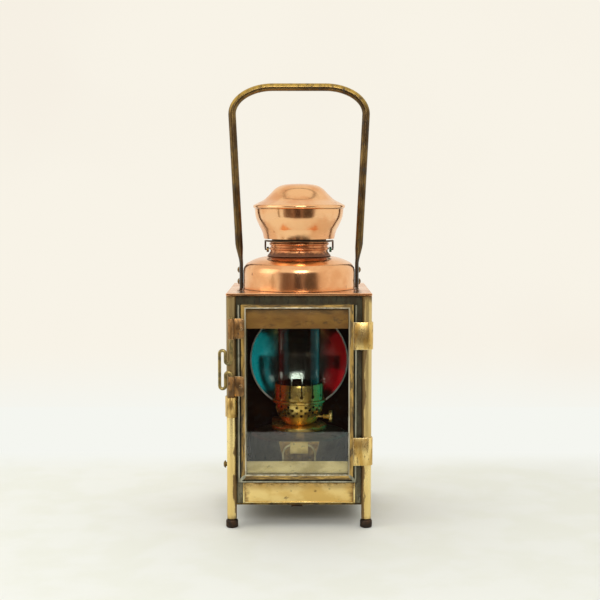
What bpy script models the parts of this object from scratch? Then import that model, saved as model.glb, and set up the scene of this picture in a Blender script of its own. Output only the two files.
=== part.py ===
# A square copper and brass railway hand lamp: four corner posts on button feet, sheet walls with coloured
# side windows, a hinged and latched glass door, a domed roof with a lift-off cowl, a hoop handle and,
# inside, a reflector, an oil fount and a round-wick burner with its glass chimney.
# The origin is on the lamp's upright axis, in the flat underside of the base plate. The front looks to -Y.
import math

import bmesh
import bpy
from mathutils import Matrix, Vector

for old in list(bpy.data.objects):
    bpy.data.objects.remove(old, do_unlink=True)

MM = 0.001

# Clearances and settings shared by the pieces
GAP = 0.3 * MM
OVERRUN = 3.0 * MM
WELD = 0.001 * MM
ROUND_STEPS = 28
TUBE_STEPS = 24
SMALL_STEPS = 16
FINE_STEPS = 12
HOLE_SIDES = 6
WIRE_ROUNDNESS = 1
SMOOTH_ANGLE = math.radians(40)
INWARDS = math.radians(225)
HEAD_SHARES = [(0.45, 0.93), (0.8, 0.62), (1.0, 0.2), (1.0, 0.0)]

# Case: sheet walls between four round posts
WALL_FACE = 63.0 * MM
WALL = 1.2 * MM
CASE_HEIGHT = 200.0 * MM
POST_RADIUS = 4.6 * MM
POST_PROUD = 0.9 * MM
LEG_DROP = 21.2 * MM
FOOT_HEIGHT = 8.0 * MM
FOOT_RADIUS = 5.8 * MM
FOOT_EDGE = 1.4 * MM
BASE_THICKNESS = 1.5 * MM
VENT_RADIUS = 6.0 * MM
VENT_AT = 49.0 * MM
SHELF_TOP = 21.7 * MM
SHELF_THICKNESS = 1.2 * MM
POST_AT = WALL_FACE + POST_PROUD
WALL_INSIDE = WALL_FACE - WALL

# Small fittings on the case
TAB_WIDTH = 10.8 * MM
TAB_DEPTH = 8.0 * MM
TAB_HEIGHT = 2.9 * MM
TAB_SHIFT = -2.0 * MM
TAB_FROM_FRONT = 5.0 * MM
STUD_HEIGHT = 36.4 * MM
STUD_FROM_FRONT = 13.0 * MM
STUD_RADIUS = 2.2 * MM
STUD_LENGTH = 7.2 * MM
STUD_HEAD_RADIUS = 3.6 * MM
STUD_HEAD_HEIGHT = 2.2 * MM

# Side windows: coloured panes held in folded frames
WINDOW_WIDTH = 74.0 * MM
WINDOW_BOTTOM = 62.0 * MM
WINDOW_TOP_MARGIN = 34.0 * MM
WINDOW_HEIGHT = CASE_HEIGHT - WINDOW_TOP_MARGIN - WINDOW_BOTTOM
WINDOW_SHIFT = -4.0 * MM
PANE_LAP = 3.0 * MM
PANE_THICKNESS = 2.0 * MM
HOLDER_WALL = 0.9 * MM
HOLDER_LIP = 2.4 * MM

# Door
DOOR_HINGE_MARGIN = 9.7 * MM
DOOR_LATCH_MARGIN = 6.4 * MM
DOOR_BOTTOM = 22.8 * MM
DOOR_TOP_MARGIN = 8.1 * MM
DOOR_BAR = 8.0 * MM
DOOR_TOP_BAR = 4.0 * MM
DOOR_BEAD = 1.8 * MM
DOOR_GROOVE_WIDTH = 1.2 * MM
DOOR_GROOVE_DEPTH = 0.8 * MM
DOOR_SKIN = 1.5 * MM
DOOR_FLANGE = 1.6 * MM
DOOR_GLASS_THICKNESS = 1.5 * MM
STRIP_THICKNESS = 0.8 * MM
TOP_STRIP_HEIGHT = 18.6 * MM
BOTTOM_STRIP_HEIGHT = 12.1 * MM
JAMB = 10.2 * MM
JAMB_SILL = 21.9 * MM
JAMB_HEAD = 12.0 * MM
DOOR_RIGHT = POST_AT - DOOR_HINGE_MARGIN
DOOR_LEFT = DOOR_LATCH_MARGIN - POST_AT
DOOR_TOP = CASE_HEIGHT - DOOR_TOP_MARGIN

# Hinge straps, wrapped round the right front post
STRAP_THICKNESS = 1.0 * MM
STRAP_LAP = 3.2 * MM
STRAP_WRAP = math.radians(135)
LOWER_STRAP_BOTTOM = 39.2 * MM
LOWER_STRAP_HEIGHT = 26.8 * MM
UPPER_STRAP_MARGIN = 50.3 * MM
UPPER_STRAP_BOTTOM = CASE_HEIGHT - UPPER_STRAP_MARGIN
UPPER_STRAP_HEIGHT = 26.0 * MM
STRAP_BORE = POST_RADIUS + GAP
STRAP_OUTSIDE = STRAP_BORE + STRAP_THICKNESS
DOOR_FRONT = POST_AT + STRAP_BORE - GAP
DOOR_BACK = WALL_FACE + GAP

# Latch: a bent wire bolt in two rolled guides on the door, above a keeper on the left front post
GUIDE_RADIUS = 3.2 * MM
GUIDE_BORE = 1.9 * MM
GUIDE_HEIGHT = 19.6 * MM
LOWER_GUIDE_BOTTOM = 105.4 * MM
UPPER_GUIDE_MARGIN = 40.0 * MM
UPPER_GUIDE_BOTTOM = CASE_HEIGHT - UPPER_GUIDE_MARGIN
LEAF_REACH = 6.3 * MM
LEAF_CORNER = 3.5 * MM
BOLT_RADIUS = 1.5 * MM
BOLT_SHIFT = 0.3 * MM
BOLT_TOP_REACH = 1.6 * MM
BOLT_DROP = 2.2 * MM
CURL_SPAN = 5.4 * MM
LOOP_SPAN = 5.4 * MM
UPPER_CURL_HANG = 23.2 * MM
LOOP_RISE = 10.0 * MM
LOOP_FALL = 15.7 * MM
KEEPER_HEIGHT = 19.2 * MM
KEEPER_RADIUS = 4.4 * MM
KEEPER_BORE = 2.4 * MM
RIVET_RADIUS = 1.6 * MM
RIVET_HEIGHT = 0.9 * MM
BOLT_X = BOLT_SHIFT - POST_AT
LEAF_BACK = DOOR_FRONT + GAP
BOLT_Y = -(LEAF_BACK + GUIDE_RADIUS)

# Roof: square plate, dome and neck
PLATE_THICKNESS = 2.4 * MM
PLATE_EDGE = 0.6 * MM
PLATE_HOLE = 46.0 * MM
ROOF_SHEET = 0.9 * MM
DOME_RADIUS = 55.2 * MM
DOME_WALL_HEIGHT = 17.0 * MM
DOME_HEIGHT = 32.0 * MM
DOME_MOUTH = 26.0 * MM
DOME_SHARES = [(0.62, 0.962), (0.79, 0.89), (0.9, 0.8), (0.965, 0.715), (0.994, 0.6)]
NECK_RADIUS = 28.3 * MM
NECK_SKIRT = 31.5 * MM
NECK_SKIRT_HEIGHT = 4.8 * MM
NECK_HEIGHT = 14.0 * MM
NECK_BEAD = 1.3 * MM
NECK_BEAD_SHARES = (0.78, 0.28)
PLATE_BOTTOM = CASE_HEIGHT + GAP
PLATE_TOP = PLATE_BOTTOM + PLATE_THICKNESS
DOME_BOTTOM = PLATE_TOP + GAP
NECK_BOTTOM = DOME_BOTTOM + DOME_HEIGHT - GAP
NECK_TOP = NECK_BOTTOM + NECK_HEIGHT

# Cowl: an inner tube in the neck, carrying a flared funnel and its bell-shaped lid
COWL_TUBE_CLEARANCE = 0.5 * MM
COWL_TUBE_DEPTH = 10.0 * MM
COWL_TUBE_RISE = 14.0 * MM
COWL_LIFT = 3.1 * MM
FUNNEL_FOOT = 34.9 * MM
FUNNEL_KINK = 37.3 * MM
FUNNEL_RIM = 43.8 * MM
FUNNEL_HEIGHT = 29.2 * MM
FUNNEL_SHARES = [(1.0, 1.0), (0.93, 0.82), (0.77, 0.66), (0.4, 0.47), (0.0, 0.3)]
FUNNEL_STEP_SHARES = (0.34, 0.16)
LID_RIM = 45.4 * MM
LID_HEIGHT = 24.4 * MM
LID_BEAD = 2.1 * MM
LID_SHARES = [(0.0, 1.0), (0.26, 0.98), (0.4, 0.925), (0.52, 0.8), (0.64, 0.57), (0.76, 0.365), (0.87, 0.26)]
LID_ROLL_START = math.radians(80)
LID_ROLL_END = math.radians(-90)
SPACER_WIDTH = 6.0 * MM
SPACER_HEIGHT = 5.0 * MM
SPACER_RISE = 2.0 * MM
SPACER_COUNT = 3
COWL_BOTTOM = NECK_TOP + COWL_LIFT
COWL_TUBE_RADIUS = NECK_RADIUS - ROOF_SHEET - COWL_TUBE_CLEARANCE
LID_BOTTOM = COWL_BOTTOM + FUNNEL_HEIGHT + GAP

# Wire clip that swings over the front of the neck, and its two lugs
CLIP_WIRE = 0.9 * MM
CLIP_RISE = 8.9 * MM
CLIP_REACH = 33.4 * MM
CLIP_AXIS_ABOVE_NECK = 6.2 * MM
CLIP_CORNER = math.radians(6)
CLIP_RISE_SHARES = (0.25, 0.75)
LUG_RADIUS = 2.6 * MM
LUG_BORE = 1.25 * MM
LUG_LENGTH = 2.2 * MM
CLIP_AXIS_Z = NECK_BOTTOM + CLIP_AXIS_ABOVE_NECK

# Hoop handle, riveted to the sides of the dome
HANDLE_ROD = 3.75 * MM
HANDLE_HEIGHT = 200.9 * MM
HANDLE_SPREAD = 65.75 * MM
HANDLE_CORNER = 26.0 * MM
HANDLE_CORNER_REACH = 40.0 * MM
HANDLE_BLADE_THICKNESS = 3.6 * MM
HANDLE_BLADE_WIDTH = 11.0 * MM
HANDLE_BLADE_HEIGHT = 25.0 * MM
HANDLE_NECKING = 19.0 * MM
HANDLE_NECKING_SHARES = (0.4, 0.75, 1.0)
HANDLE_LEAN = 2.2 * MM
HANDLE_RIVET_RADIUS = 3.2 * MM
HANDLE_RIVET_HEIGHT = 1.9 * MM
HANDLE_RIVET_LOW = 6.6 * MM
HANDLE_RIVET_PITCH = 11.5 * MM

# Reflector: a polished dish with a wired rim, standing against the back wall
DISH_RADIUS = 51.1 * MM
DISH_DEPTH = 20.0 * MM
DISH_SHEET = 0.9 * MM
DISH_WIRE = 1.6 * MM
DISH_CENTRE = 125.0 * MM
DISH_ROLL_START = math.radians(160)
DISH_ROLL_END = math.radians(-100)
DISH_STEPS = 4

# Oil fount with its filler cap and pull ring
FOUNT_RADIUS = 48.3 * MM
FOUNT_SHEET = 0.9 * MM
FOUNT_HEIGHT = 36.2 * MM
FOUNT_CROWN = 3.6 * MM
FOUNT_EDGE = 2.5 * MM
FOUNT_MOUTH = 22.0 * MM
CAP_SIZE_SHARE = 0.314
CAP_HEIGHT = 5.0 * MM
CAP_EDGE = 1.2 * MM
CAP_TURN = math.radians(125)
CAP_PLACE_SHARE = 0.5
RING_PLATE_TOP_WIDTH = 39.0 * MM
RING_PLATE_FOOT_WIDTH = 28.0 * MM
RING_PLATE_HEIGHT = 24.0 * MM
RING_PLATE_THICKNESS = 0.8 * MM
RING_WIRE = 1.0 * MM
RING_SPAN = 31.0 * MM
RING_DROP = 27.0 * MM
RING_CORNER = 9.0 * MM
RING_STRAP_WIDTH = 17.0 * MM
RING_STRAP_HEIGHT = 11.0 * MM
RING_STRAP_RISE = 2.75 * MM
RING_STRAP_SHEET = 0.8 * MM

# Burner: collar, perforated basket, gallery, slotted crown, wick tube, wick and winder
COLLAR_RADIUS = 27.6 * MM
COLLAR_HEIGHT = 3.8 * MM
COLLAR_EDGE = 0.9 * MM
BASKET_NECK = 12.5 * MM
BASKET_FOOT = 17.0 * MM
BASKET_NECK_HEIGHT = 2.9 * MM
BASKET_TOP = 24.0 * MM
BASKET_HEIGHT = 22.2 * MM
BASKET_SHEET = 0.8 * MM
BASKET_HOLE = 1.6 * MM
BASKET_HOLES = 12
BASKET_ROWS = 3
BASKET_STEPS = 3
BASKET_ROW_PITCH = 3.8 * MM
BASKET_FIRST_ROW = 8.2 * MM
GALLERY_RADIUS = 27.0 * MM
GALLERY_MOUTH = 18.5 * MM
GALLERY_HEIGHT = 3.1 * MM
CROWN_RADIUS = 24.4 * MM
CROWN_SHEET = 0.8 * MM
CROWN_HEIGHT = 15.7 * MM
CROWN_SLOTS = 13
CROWN_STEPS = 3
CROWN_SLOT_WIDTH = 1.5 * MM
CROWN_SLOT_HEIGHT = 9.0 * MM
CROWN_KEYHOLE = 1.7 * MM
CROWN_SLOT_RISE = 4.2 * MM
CROWN_SLOT_PHASE = math.radians(-97)
CHIMNEY_RADIUS = 21.5 * MM
CHIMNEY_GLASS = 1.6 * MM
CHIMNEY_HEIGHT = 139.0 * MM
CHIMNEY_MOUTH = 17.0 * MM
CHIMNEY_SHARES = [(1.0, 1.0), (1.0, 0.82), (0.55, 0.7), (0.0, 0.6), (0.0, 0.0)]
WICK_TUBE_RADIUS = 8.8 * MM
WICK_TUBE_SHEET = 0.6 * MM
WICK_TUBE_RISE = 8.0 * MM
WICK_TUBE_DEPTH = 30.0 * MM
WICK_CLEARANCE = 0.2 * MM
WICK_THICKNESS = 1.2 * MM
WICK_SHOWS = 2.5 * MM
WHEEL_RADIUS = 3.5 * MM
WHEEL_TOOTH = 0.7 * MM
WHEEL_TEETH = 10
WHEEL_WIDTH = 1.6 * MM
WHEEL_AT = 3.5 * MM
WHEEL_BITE = 0.7 * MM
SPINDLE_RADIUS = 1.1 * MM
SPINDLE_CLEARANCE = 0.4 * MM
SPINDLE_RISE = 9.3 * MM
KNOB_START = 24.0 * MM
KNOB_BOSS = 2.3 * MM
KNOB_BOSS_LENGTH = 5.6 * MM
KNOB_RADIUS = 6.0 * MM
KNOB_THICKNESS = 3.2 * MM
KNOB_RIBS = 18
KNOB_RIB = 0.4 * MM

FOUNT_BOTTOM = SHELF_TOP + GAP
FOUNT_TOP = FOUNT_BOTTOM + FOUNT_HEIGHT + FOUNT_CROWN
COLLAR_BOTTOM = FOUNT_TOP + GAP
BASKET_BOTTOM = COLLAR_BOTTOM + COLLAR_HEIGHT + GAP
GALLERY_BOTTOM = BASKET_BOTTOM + BASKET_HEIGHT + GAP
CROWN_BOTTOM = GALLERY_BOTTOM + GALLERY_HEIGHT + GAP
WICK_TUBE_TOP = CROWN_BOTTOM + WICK_TUBE_RISE
SPINDLE_Z = BASKET_BOTTOM + SPINDLE_RISE
SPINDLE_Y = -(WICK_TUBE_RADIUS + WHEEL_RADIUS - WHEEL_BITE)


def linear(hex_colour):
    """An sRGB hex colour as the linear values that a shader takes."""
    values = [int(hex_colour[i : i + 2], 16) / 255 for i in (1, 3, 5)]
    return [v / 12.92 if v <= 0.04045 else ((v + 0.055) / 1.055) ** 2.4 for v in values] + [1.0]


def finish(name, hex_colour, metallic, roughness, see_through=0.0):
    """A Principled material with the colour and gloss that the real piece shows."""
    material = bpy.data.materials.new(name)
    material.use_nodes = True
    shader = material.node_tree.nodes["Principled BSDF"]
    shader.inputs["Base Color"].default_value = linear(hex_colour)
    shader.inputs["Metallic"].default_value = metallic
    shader.inputs["Roughness"].default_value = roughness
    shader.inputs["Transmission Weight"].default_value = see_through
    material.diffuse_color = linear(hex_colour)
    return material


COPPER = finish("polished_copper", "#D98A66", 1.0, 0.22)
BRASS = finish("worn_brass", "#B68B3C", 1.0, 0.32)
BRIGHT_BRASS = finish("polished_brass", "#D8AE55", 1.0, 0.2)
SOLDERED = finish("solder_grey_brass", "#7C7A63", 0.9, 0.45)
DARK_TIN = finish("sooty_tinplate", "#3B332C", 0.7, 0.55)
DARK_BRASS = finish("brown_patina_brass", "#5B452C", 0.9, 0.4)
IRON = finish("blackened_iron", "#2A2521", 0.6, 0.5)
SILVERED = finish("silvered_copper", "#D9D7D2", 1.0, 0.08)
CLEAR_GLASS = finish("clear_glass", "#F2F5F3", 0.0, 0.03, 1.0)
RED_GLASS = finish("ruby_glass", "#A3141B", 0.0, 0.04, 1.0)
GREEN_GLASS = finish("signal_green_glass", "#0A8F92", 0.0, 0.04, 1.0)
COTTON = finish("cotton_wick", "#CDBF9E", 0.0, 0.9)


def empty(name, place, parent=None):
    """A pivot on a joint's axis."""
    pivot = bpy.data.objects.new(name, None)
    bpy.context.scene.collection.objects.link(pivot)
    pivot.parent = parent
    pivot.location = Vector(place) - (parent.location if parent else Vector())
    return pivot


def add(name, bm, material, parent=None):
    """Turns a mesh in the lamp's frame into a named object, hung on its parent's axis when it has one."""
    if parent:
        bmesh.ops.translate(bm, vec=-world_place(parent), verts=bm.verts)
    bmesh.ops.recalc_face_normals(bm, faces=bm.faces)
    mesh = bpy.data.meshes.new(name)
    bm.to_mesh(mesh)
    bm.free()
    mesh.shade_smooth()
    mesh.set_sharp_from_angle(angle=SMOOTH_ANGLE)
    obj = bpy.data.objects.new(name, mesh)
    obj.data.materials.append(material)
    obj.parent = parent
    bpy.context.scene.collection.objects.link(obj)
    return obj


def world_place(pivot):
    """A pivot's place in the lamp's frame."""
    place = pivot.location.copy()
    while pivot.parent:
        pivot = pivot.parent
        place += pivot.location
    return place


def boolean(obj, other, operation):
    """Cuts or joins with a second shape, which then stays out of the model."""
    other.hide_render = True
    other.display_type = "WIRE"
    modifier = obj.modifiers.new(operation.lower(), "BOOLEAN")
    modifier.operation = operation
    modifier.solver = "EXACT"
    modifier.object = other


def join(target, source):
    """Puts a second mesh beside the first, as separate bodies."""
    spare = bpy.data.meshes.new("spare")
    source.to_mesh(spare)
    source.free()
    target.from_mesh(spare)
    bpy.data.meshes.remove(spare)
    return target


def box(low, high):
    """A block between two corners."""
    low, high = Vector(low), Vector(high)
    bm = bmesh.new()
    bmesh.ops.create_cube(bm, size=1)
    bmesh.ops.scale(bm, vec=high - low, verts=bm.verts)
    bmesh.ops.translate(bm, vec=(low + high) / 2, verts=bm.verts)
    return bm


def extruded(outline, along, start, end):
    """A closed outline in the plane across an axis, drawn out along that axis from start to end."""
    bm = bmesh.new()
    axis = "XYZ".index(along)
    run = Vector([end - start if i == axis else 0 for i in range(3)])
    corners = []
    for a, b in outline:
        corner = [a, b]
        corner.insert(axis, start)
        corners.append(bm.verts.new(corner))
    grown = bmesh.ops.extrude_face_region(bm, geom=[bm.faces.new(corners)])
    moved = [v for v in grown["geom"] if isinstance(v, bmesh.types.BMVert)]
    bmesh.ops.translate(bm, vec=run, verts=moved)
    return bm


def turned(profile, steps=ROUND_STEPS, closed=True):
    """A profile of radii and heights, turned about the upright axis."""
    bm = bmesh.new()
    verts = [bm.verts.new((r, 0, z)) for r, z in profile]
    pairs = list(zip(verts, verts[1:]))
    if closed:
        pairs.append((verts[-1], verts[0]))
    edges = [bm.edges.new(pair) for pair in pairs]
    bmesh.ops.spin(bm, geom=verts + edges, cent=(0, 0, 0), axis=(0, 0, 1), angle=math.tau, steps=steps,
                   use_merge=True)
    bmesh.ops.remove_doubles(bm, verts=bm.verts, dist=WELD)
    bmesh.ops.dissolve_degenerate(bm, edges=bm.edges, dist=WELD)
    return bm


def pin(radius, low, high, steps=SMALL_STEPS):
    """An upright cylinder between two heights."""
    return turned([(0, high), (radius, high), (radius, low), (0, low)], steps, False)


def placed(bm, place, turn=Matrix.Identity(3)):
    """Turns a mesh about the origin and moves it to its place."""
    bmesh.ops.transform(bm, matrix=Matrix.Translation(Vector(place)) @ turn.to_4x4(), verts=bm.verts)
    return bm


def arc(centre, radius, start, end, steps):
    """Points on an arc, both ends included."""
    turns = [start + (end - start) * i / steps for i in range(steps + 1)]
    return [(centre[0] + radius * math.cos(t), centre[1] + radius * math.sin(t)) for t in turns]


def shell(outside, thickness):
    """A turned sheet: its outer line from top to bottom, and the same line moved inwards by the sheet."""
    inside = []
    for i, (r, z) in enumerate(outside):
        before = Vector(outside[max(i - 1, 0)])
        after = Vector(outside[min(i + 1, len(outside) - 1)])
        run = (after - before).normalized()
        inside.append((max(r + run.y * thickness, 0), z - run.x * thickness))
    return list(outside) + inside[::-1]


def wire(name, points, radius, material, parent=None, closed=False):
    """A round wire through points in the lamp's frame."""
    curve = bpy.data.curves.new(name, "CURVE")
    curve.dimensions = "3D"
    curve.bevel_depth = radius
    curve.bevel_resolution = WIRE_ROUNDNESS
    curve.use_fill_caps = True
    spline = curve.splines.new("POLY")
    spline.points.add(len(points) - 1)
    spline.use_cyclic_u = closed
    origin = world_place(parent) if parent else Vector()
    for point, place in zip(spline.points, points):
        point.co = (*(Vector(place) - origin), 1)
    curve.materials.append(material)
    obj = bpy.data.objects.new(name, curve)
    obj.parent = parent
    bpy.context.scene.collection.objects.link(obj)
    return obj


def picture_frame(section, left, right, low, high):
    """A mitred frame: section points are (inset from the outer edge, depth), swept round a rectangle."""
    bm = bmesh.new()
    rings = []
    for inset, depth in section:
        corners = ((left + inset, low + inset), (right - inset, low + inset),
                   (right - inset, high - inset), (left + inset, high - inset))
        rings.append([bm.verts.new((a, depth, b)) for a, b in corners])
    for first, second in zip(rings, rings[1:] + rings[:1]):
        for i in range(4):
            bm.faces.new((first[i - 1], first[i], second[i], second[i - 1]))
    return bm


def rounded_head(radius, height, steps=SMALL_STEPS):
    """A domed rivet head standing on the plane z = 0."""
    return turned([(0, height)] + [(radius * s, height * c) for s, c in HEAD_SHARES] + [(0, 0)], steps, False)



# Base, shelf, posts and feet

def notched_square(half, low, high):
    """A square plate whose corners are cut round for the posts."""
    notch = POST_RADIUS + GAP
    miss = POST_AT - half
    swing = math.acos(miss / notch)
    outline = []
    for corner in range(4):
        turn = Matrix.Rotation(corner * math.pi / 2, 2)
        spread = swing - math.pi / 4
        points = arc((POST_AT, POST_AT), notch, INWARDS + spread, INWARDS - spread, 6)
        outline += [tuple(turn @ Vector(p)) for p in points]
    return extruded(outline, "Z", low, high)


def vents(low, high):
    """Four upright cutters for the air holes, one in each corner."""
    cutters = bmesh.new()
    for x in (-VENT_AT, VENT_AT):
        for y in (-VENT_AT, VENT_AT):
            join(cutters, placed(pin(VENT_RADIUS, low, high, FINE_STEPS), (x, y, 0)))
    return add("vent_cutters", cutters, IRON)


def floor_plates():
    """The base plate and, above it, the shelf that carries the fount; both breathe through corner holes."""
    base = add("base_plate", notched_square(WALL_FACE, 0, BASE_THICKNESS), BRASS)
    boolean(base, vents(-OVERRUN, BASE_THICKNESS + OVERRUN), "DIFFERENCE")
    low = SHELF_TOP - SHELF_THICKNESS
    shelf = add("fount_shelf", notched_square(WALL_INSIDE - GAP, low, SHELF_TOP), DARK_TIN)
    boolean(shelf, vents(low - OVERRUN, SHELF_TOP + OVERRUN), "DIFFERENCE")


def posts_and_feet():
    """Four round posts, each on its own button foot."""
    places = {"front_left": (-1, -1), "front_right": (1, -1), "back_left": (-1, 1), "back_right": (1, 1)}
    bottom = FOOT_HEIGHT + GAP - LEG_DROP
    for name, (x, y) in places.items():
        rod = pin(POST_RADIUS, bottom, CASE_HEIGHT)
        add(name + "_post", placed(rod, (x * POST_AT, y * POST_AT, 0)), BRIGHT_BRASS)
        flat = FOOT_RADIUS - FOOT_EDGE
        button = turned([(0, FOOT_HEIGHT), (flat, FOOT_HEIGHT), (FOOT_RADIUS, FOOT_HEIGHT - FOOT_EDGE),
                         (FOOT_RADIUS, FOOT_EDGE), (flat, 0), (0, 0)], SMALL_STEPS, False)
        add(name + "_foot", placed(button, (x * POST_AT, y * POST_AT, -LEG_DROP)), IRON)


def base_fittings():
    """A small tab under the front edge of the base, and a stud low on the left wall."""
    front = TAB_FROM_FRONT - WALL_FACE
    add("base_tab", box((TAB_SHIFT - TAB_WIDTH / 2, front, -GAP - TAB_HEIGHT),
                        (TAB_SHIFT + TAB_WIDTH / 2, front + TAB_DEPTH, -GAP)), IRON)
    line = [(0, STUD_LENGTH + STUD_HEAD_HEIGHT)]
    line += [(STUD_HEAD_RADIUS * r, STUD_LENGTH + STUD_HEAD_HEIGHT * z) for r, z in HEAD_SHARES]
    stud = turned(line + [(STUD_RADIUS, STUD_LENGTH), (STUD_RADIUS, 0), (0, 0)], SMALL_STEPS, False)
    add("side_stud", placed(stud, (-WALL_FACE - GAP, STUD_FROM_FRONT - WALL_FACE, STUD_HEIGHT),
                            Matrix.Rotation(-math.pi / 2, 3, "Y")), BRASS)


# Walls and side windows

def wall_end():
    """How far a wall reaches along its length before it meets a post."""
    reach = POST_RADIUS + GAP
    return POST_AT - math.sqrt(reach * reach - POST_PROUD * POST_PROUD)


def walls():
    """Four sheet walls between the posts, the sides with windows and the front with the doorway."""
    end = wall_end()
    low = BASE_THICKNESS + GAP
    middle = WINDOW_SHIFT
    for name, side in (("left_wall", -1), ("right_wall", 1)):
        inner, outer = sorted((side * WALL_INSIDE, side * WALL_FACE))
        wall = add(name, box((inner, -end, low), (outer, end, CASE_HEIGHT)), SOLDERED)
        hole = box((inner - OVERRUN, middle - WINDOW_WIDTH / 2, WINDOW_BOTTOM),
                   (outer + OVERRUN, middle + WINDOW_WIDTH / 2, WINDOW_BOTTOM + WINDOW_HEIGHT))
        boolean(wall, add(name + "_window_cutter", hole, IRON), "DIFFERENCE")
        if side > 0:
            boolean(wall, strap_cutter("right_wall_strap_cutter"), "DIFFERENCE")
    add("back_wall", box((-end, WALL_INSIDE, low), (end, WALL_FACE, CASE_HEIGHT)), SOLDERED)
    front = add("front_wall", box((-end, -WALL_FACE, low), (end, -WALL_INSIDE, CASE_HEIGHT)), BRASS)
    doorway = box((JAMB - end, -WALL_FACE - OVERRUN, JAMB_SILL),
                  (end - JAMB, -WALL_INSIDE + OVERRUN, CASE_HEIGHT - JAMB_HEAD))
    boolean(front, add("doorway_cutter", doorway, IRON), "DIFFERENCE")
    boolean(front, strap_cutter("front_wall_strap_cutter"), "DIFFERENCE")


def strap_cutter(name):
    """Round cutters where the hinge straps turn, so that the sheet edges stay clear of them."""
    radius = STRAP_OUTSIDE + GAP
    cutters = bmesh.new()
    for bottom, height in straps():
        low, high = bottom - GAP, bottom + height + GAP
        join(cutters, placed(pin(radius, low, high), (POST_AT, -POST_AT, 0)))
    return add(name, cutters, IRON)


def straps():
    """The bottom and height of the two hinge straps."""
    return ((LOWER_STRAP_BOTTOM, LOWER_STRAP_HEIGHT), (UPPER_STRAP_BOTTOM, UPPER_STRAP_HEIGHT))


def side_windows():
    """A ruby pane on the left and a blue-green pane on the right, each in a frame folded round its edge."""
    half = WINDOW_WIDTH / 2 + PANE_LAP
    low = WINDOW_BOTTOM - PANE_LAP
    high = WINDOW_BOTTOM + WINDOW_HEIGHT + PANE_LAP
    front = WALL_INSIDE - GAP
    rim = GAP + HOLDER_WALL
    lip = rim + HOLDER_LIP
    pane_back = front - PANE_THICKNESS
    section = [(0, front), (0, pane_back - rim), (lip, pane_back - rim), (lip, pane_back - GAP),
               (HOLDER_WALL, pane_back - GAP), (HOLDER_WALL, front)]
    for name, side, glass in (("left", -1, RED_GLASS), ("right", 1, GREEN_GLASS)):
        turn = Matrix.Rotation(side * -math.pi / 2, 3, "Z")
        place = (0, WINDOW_SHIFT, 0)
        pane = box((-half, pane_back, low), (half, front, high))
        add(name + "_window_glass", placed(pane, place, turn), glass)
        holder = picture_frame(section, -half - rim, half + rim, low - rim, high + rim)
        add(name + "_glass_frame", placed(holder, place, turn), DARK_TIN)


# Roof

def roof():
    """The square copper plate, the dome on it and the beaded neck on the dome."""
    half = POST_AT + POST_RADIUS
    plate = add("top_plate", box((-half, -half, PLATE_BOTTOM), (half, half, PLATE_TOP)), COPPER)
    bevel = plate.modifiers.new("soft_edge", "BEVEL")
    bevel.width = PLATE_EDGE
    bevel.segments = 1
    low, high = PLATE_BOTTOM - OVERRUN, PLATE_TOP + OVERRUN
    boolean(plate, add("plate_cutter", pin(PLATE_HOLE, low, high, ROUND_STEPS), IRON), "DIFFERENCE")
    add("dome", turned(shell(dome_line(), ROOF_SHEET)), COPPER)
    add("neck", turned(neck_profile()), COPPER)


def dome_line():
    """The dome's outer line from its mouth down to the plate: a shallow cone, a rounded shoulder, a wall."""
    line = [(DOME_MOUTH, DOME_BOTTOM + DOME_HEIGHT)]
    line += [(DOME_RADIUS * r, DOME_BOTTOM + DOME_HEIGHT * z) for r, z in DOME_SHARES]
    return line + [(DOME_RADIUS, DOME_BOTTOM + DOME_WALL_HEIGHT), (DOME_RADIUS, DOME_BOTTOM)]


def neck_profile():
    """A skirt on the dome, narrowing to a tube with two rolled beads."""
    bore = NECK_RADIUS - ROOF_SHEET
    skirt_top = NECK_BOTTOM + NECK_SKIRT_HEIGHT
    clear = NECK_HEIGHT - NECK_SKIRT_HEIGHT
    outside = [(NECK_RADIUS, NECK_TOP)]
    for share in NECK_BEAD_SHARES:
        middle = skirt_top + clear * share
        outside += arc((NECK_RADIUS, middle), NECK_BEAD, math.pi / 2, -math.pi / 2, 3)
    outside += [(NECK_RADIUS, skirt_top), (NECK_SKIRT, NECK_BOTTOM)]
    inside = [(NECK_SKIRT - ROOF_SHEET, NECK_BOTTOM), (bore, skirt_top + ROOF_SHEET / 2), (bore, NECK_TOP)]
    return outside + inside


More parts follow.
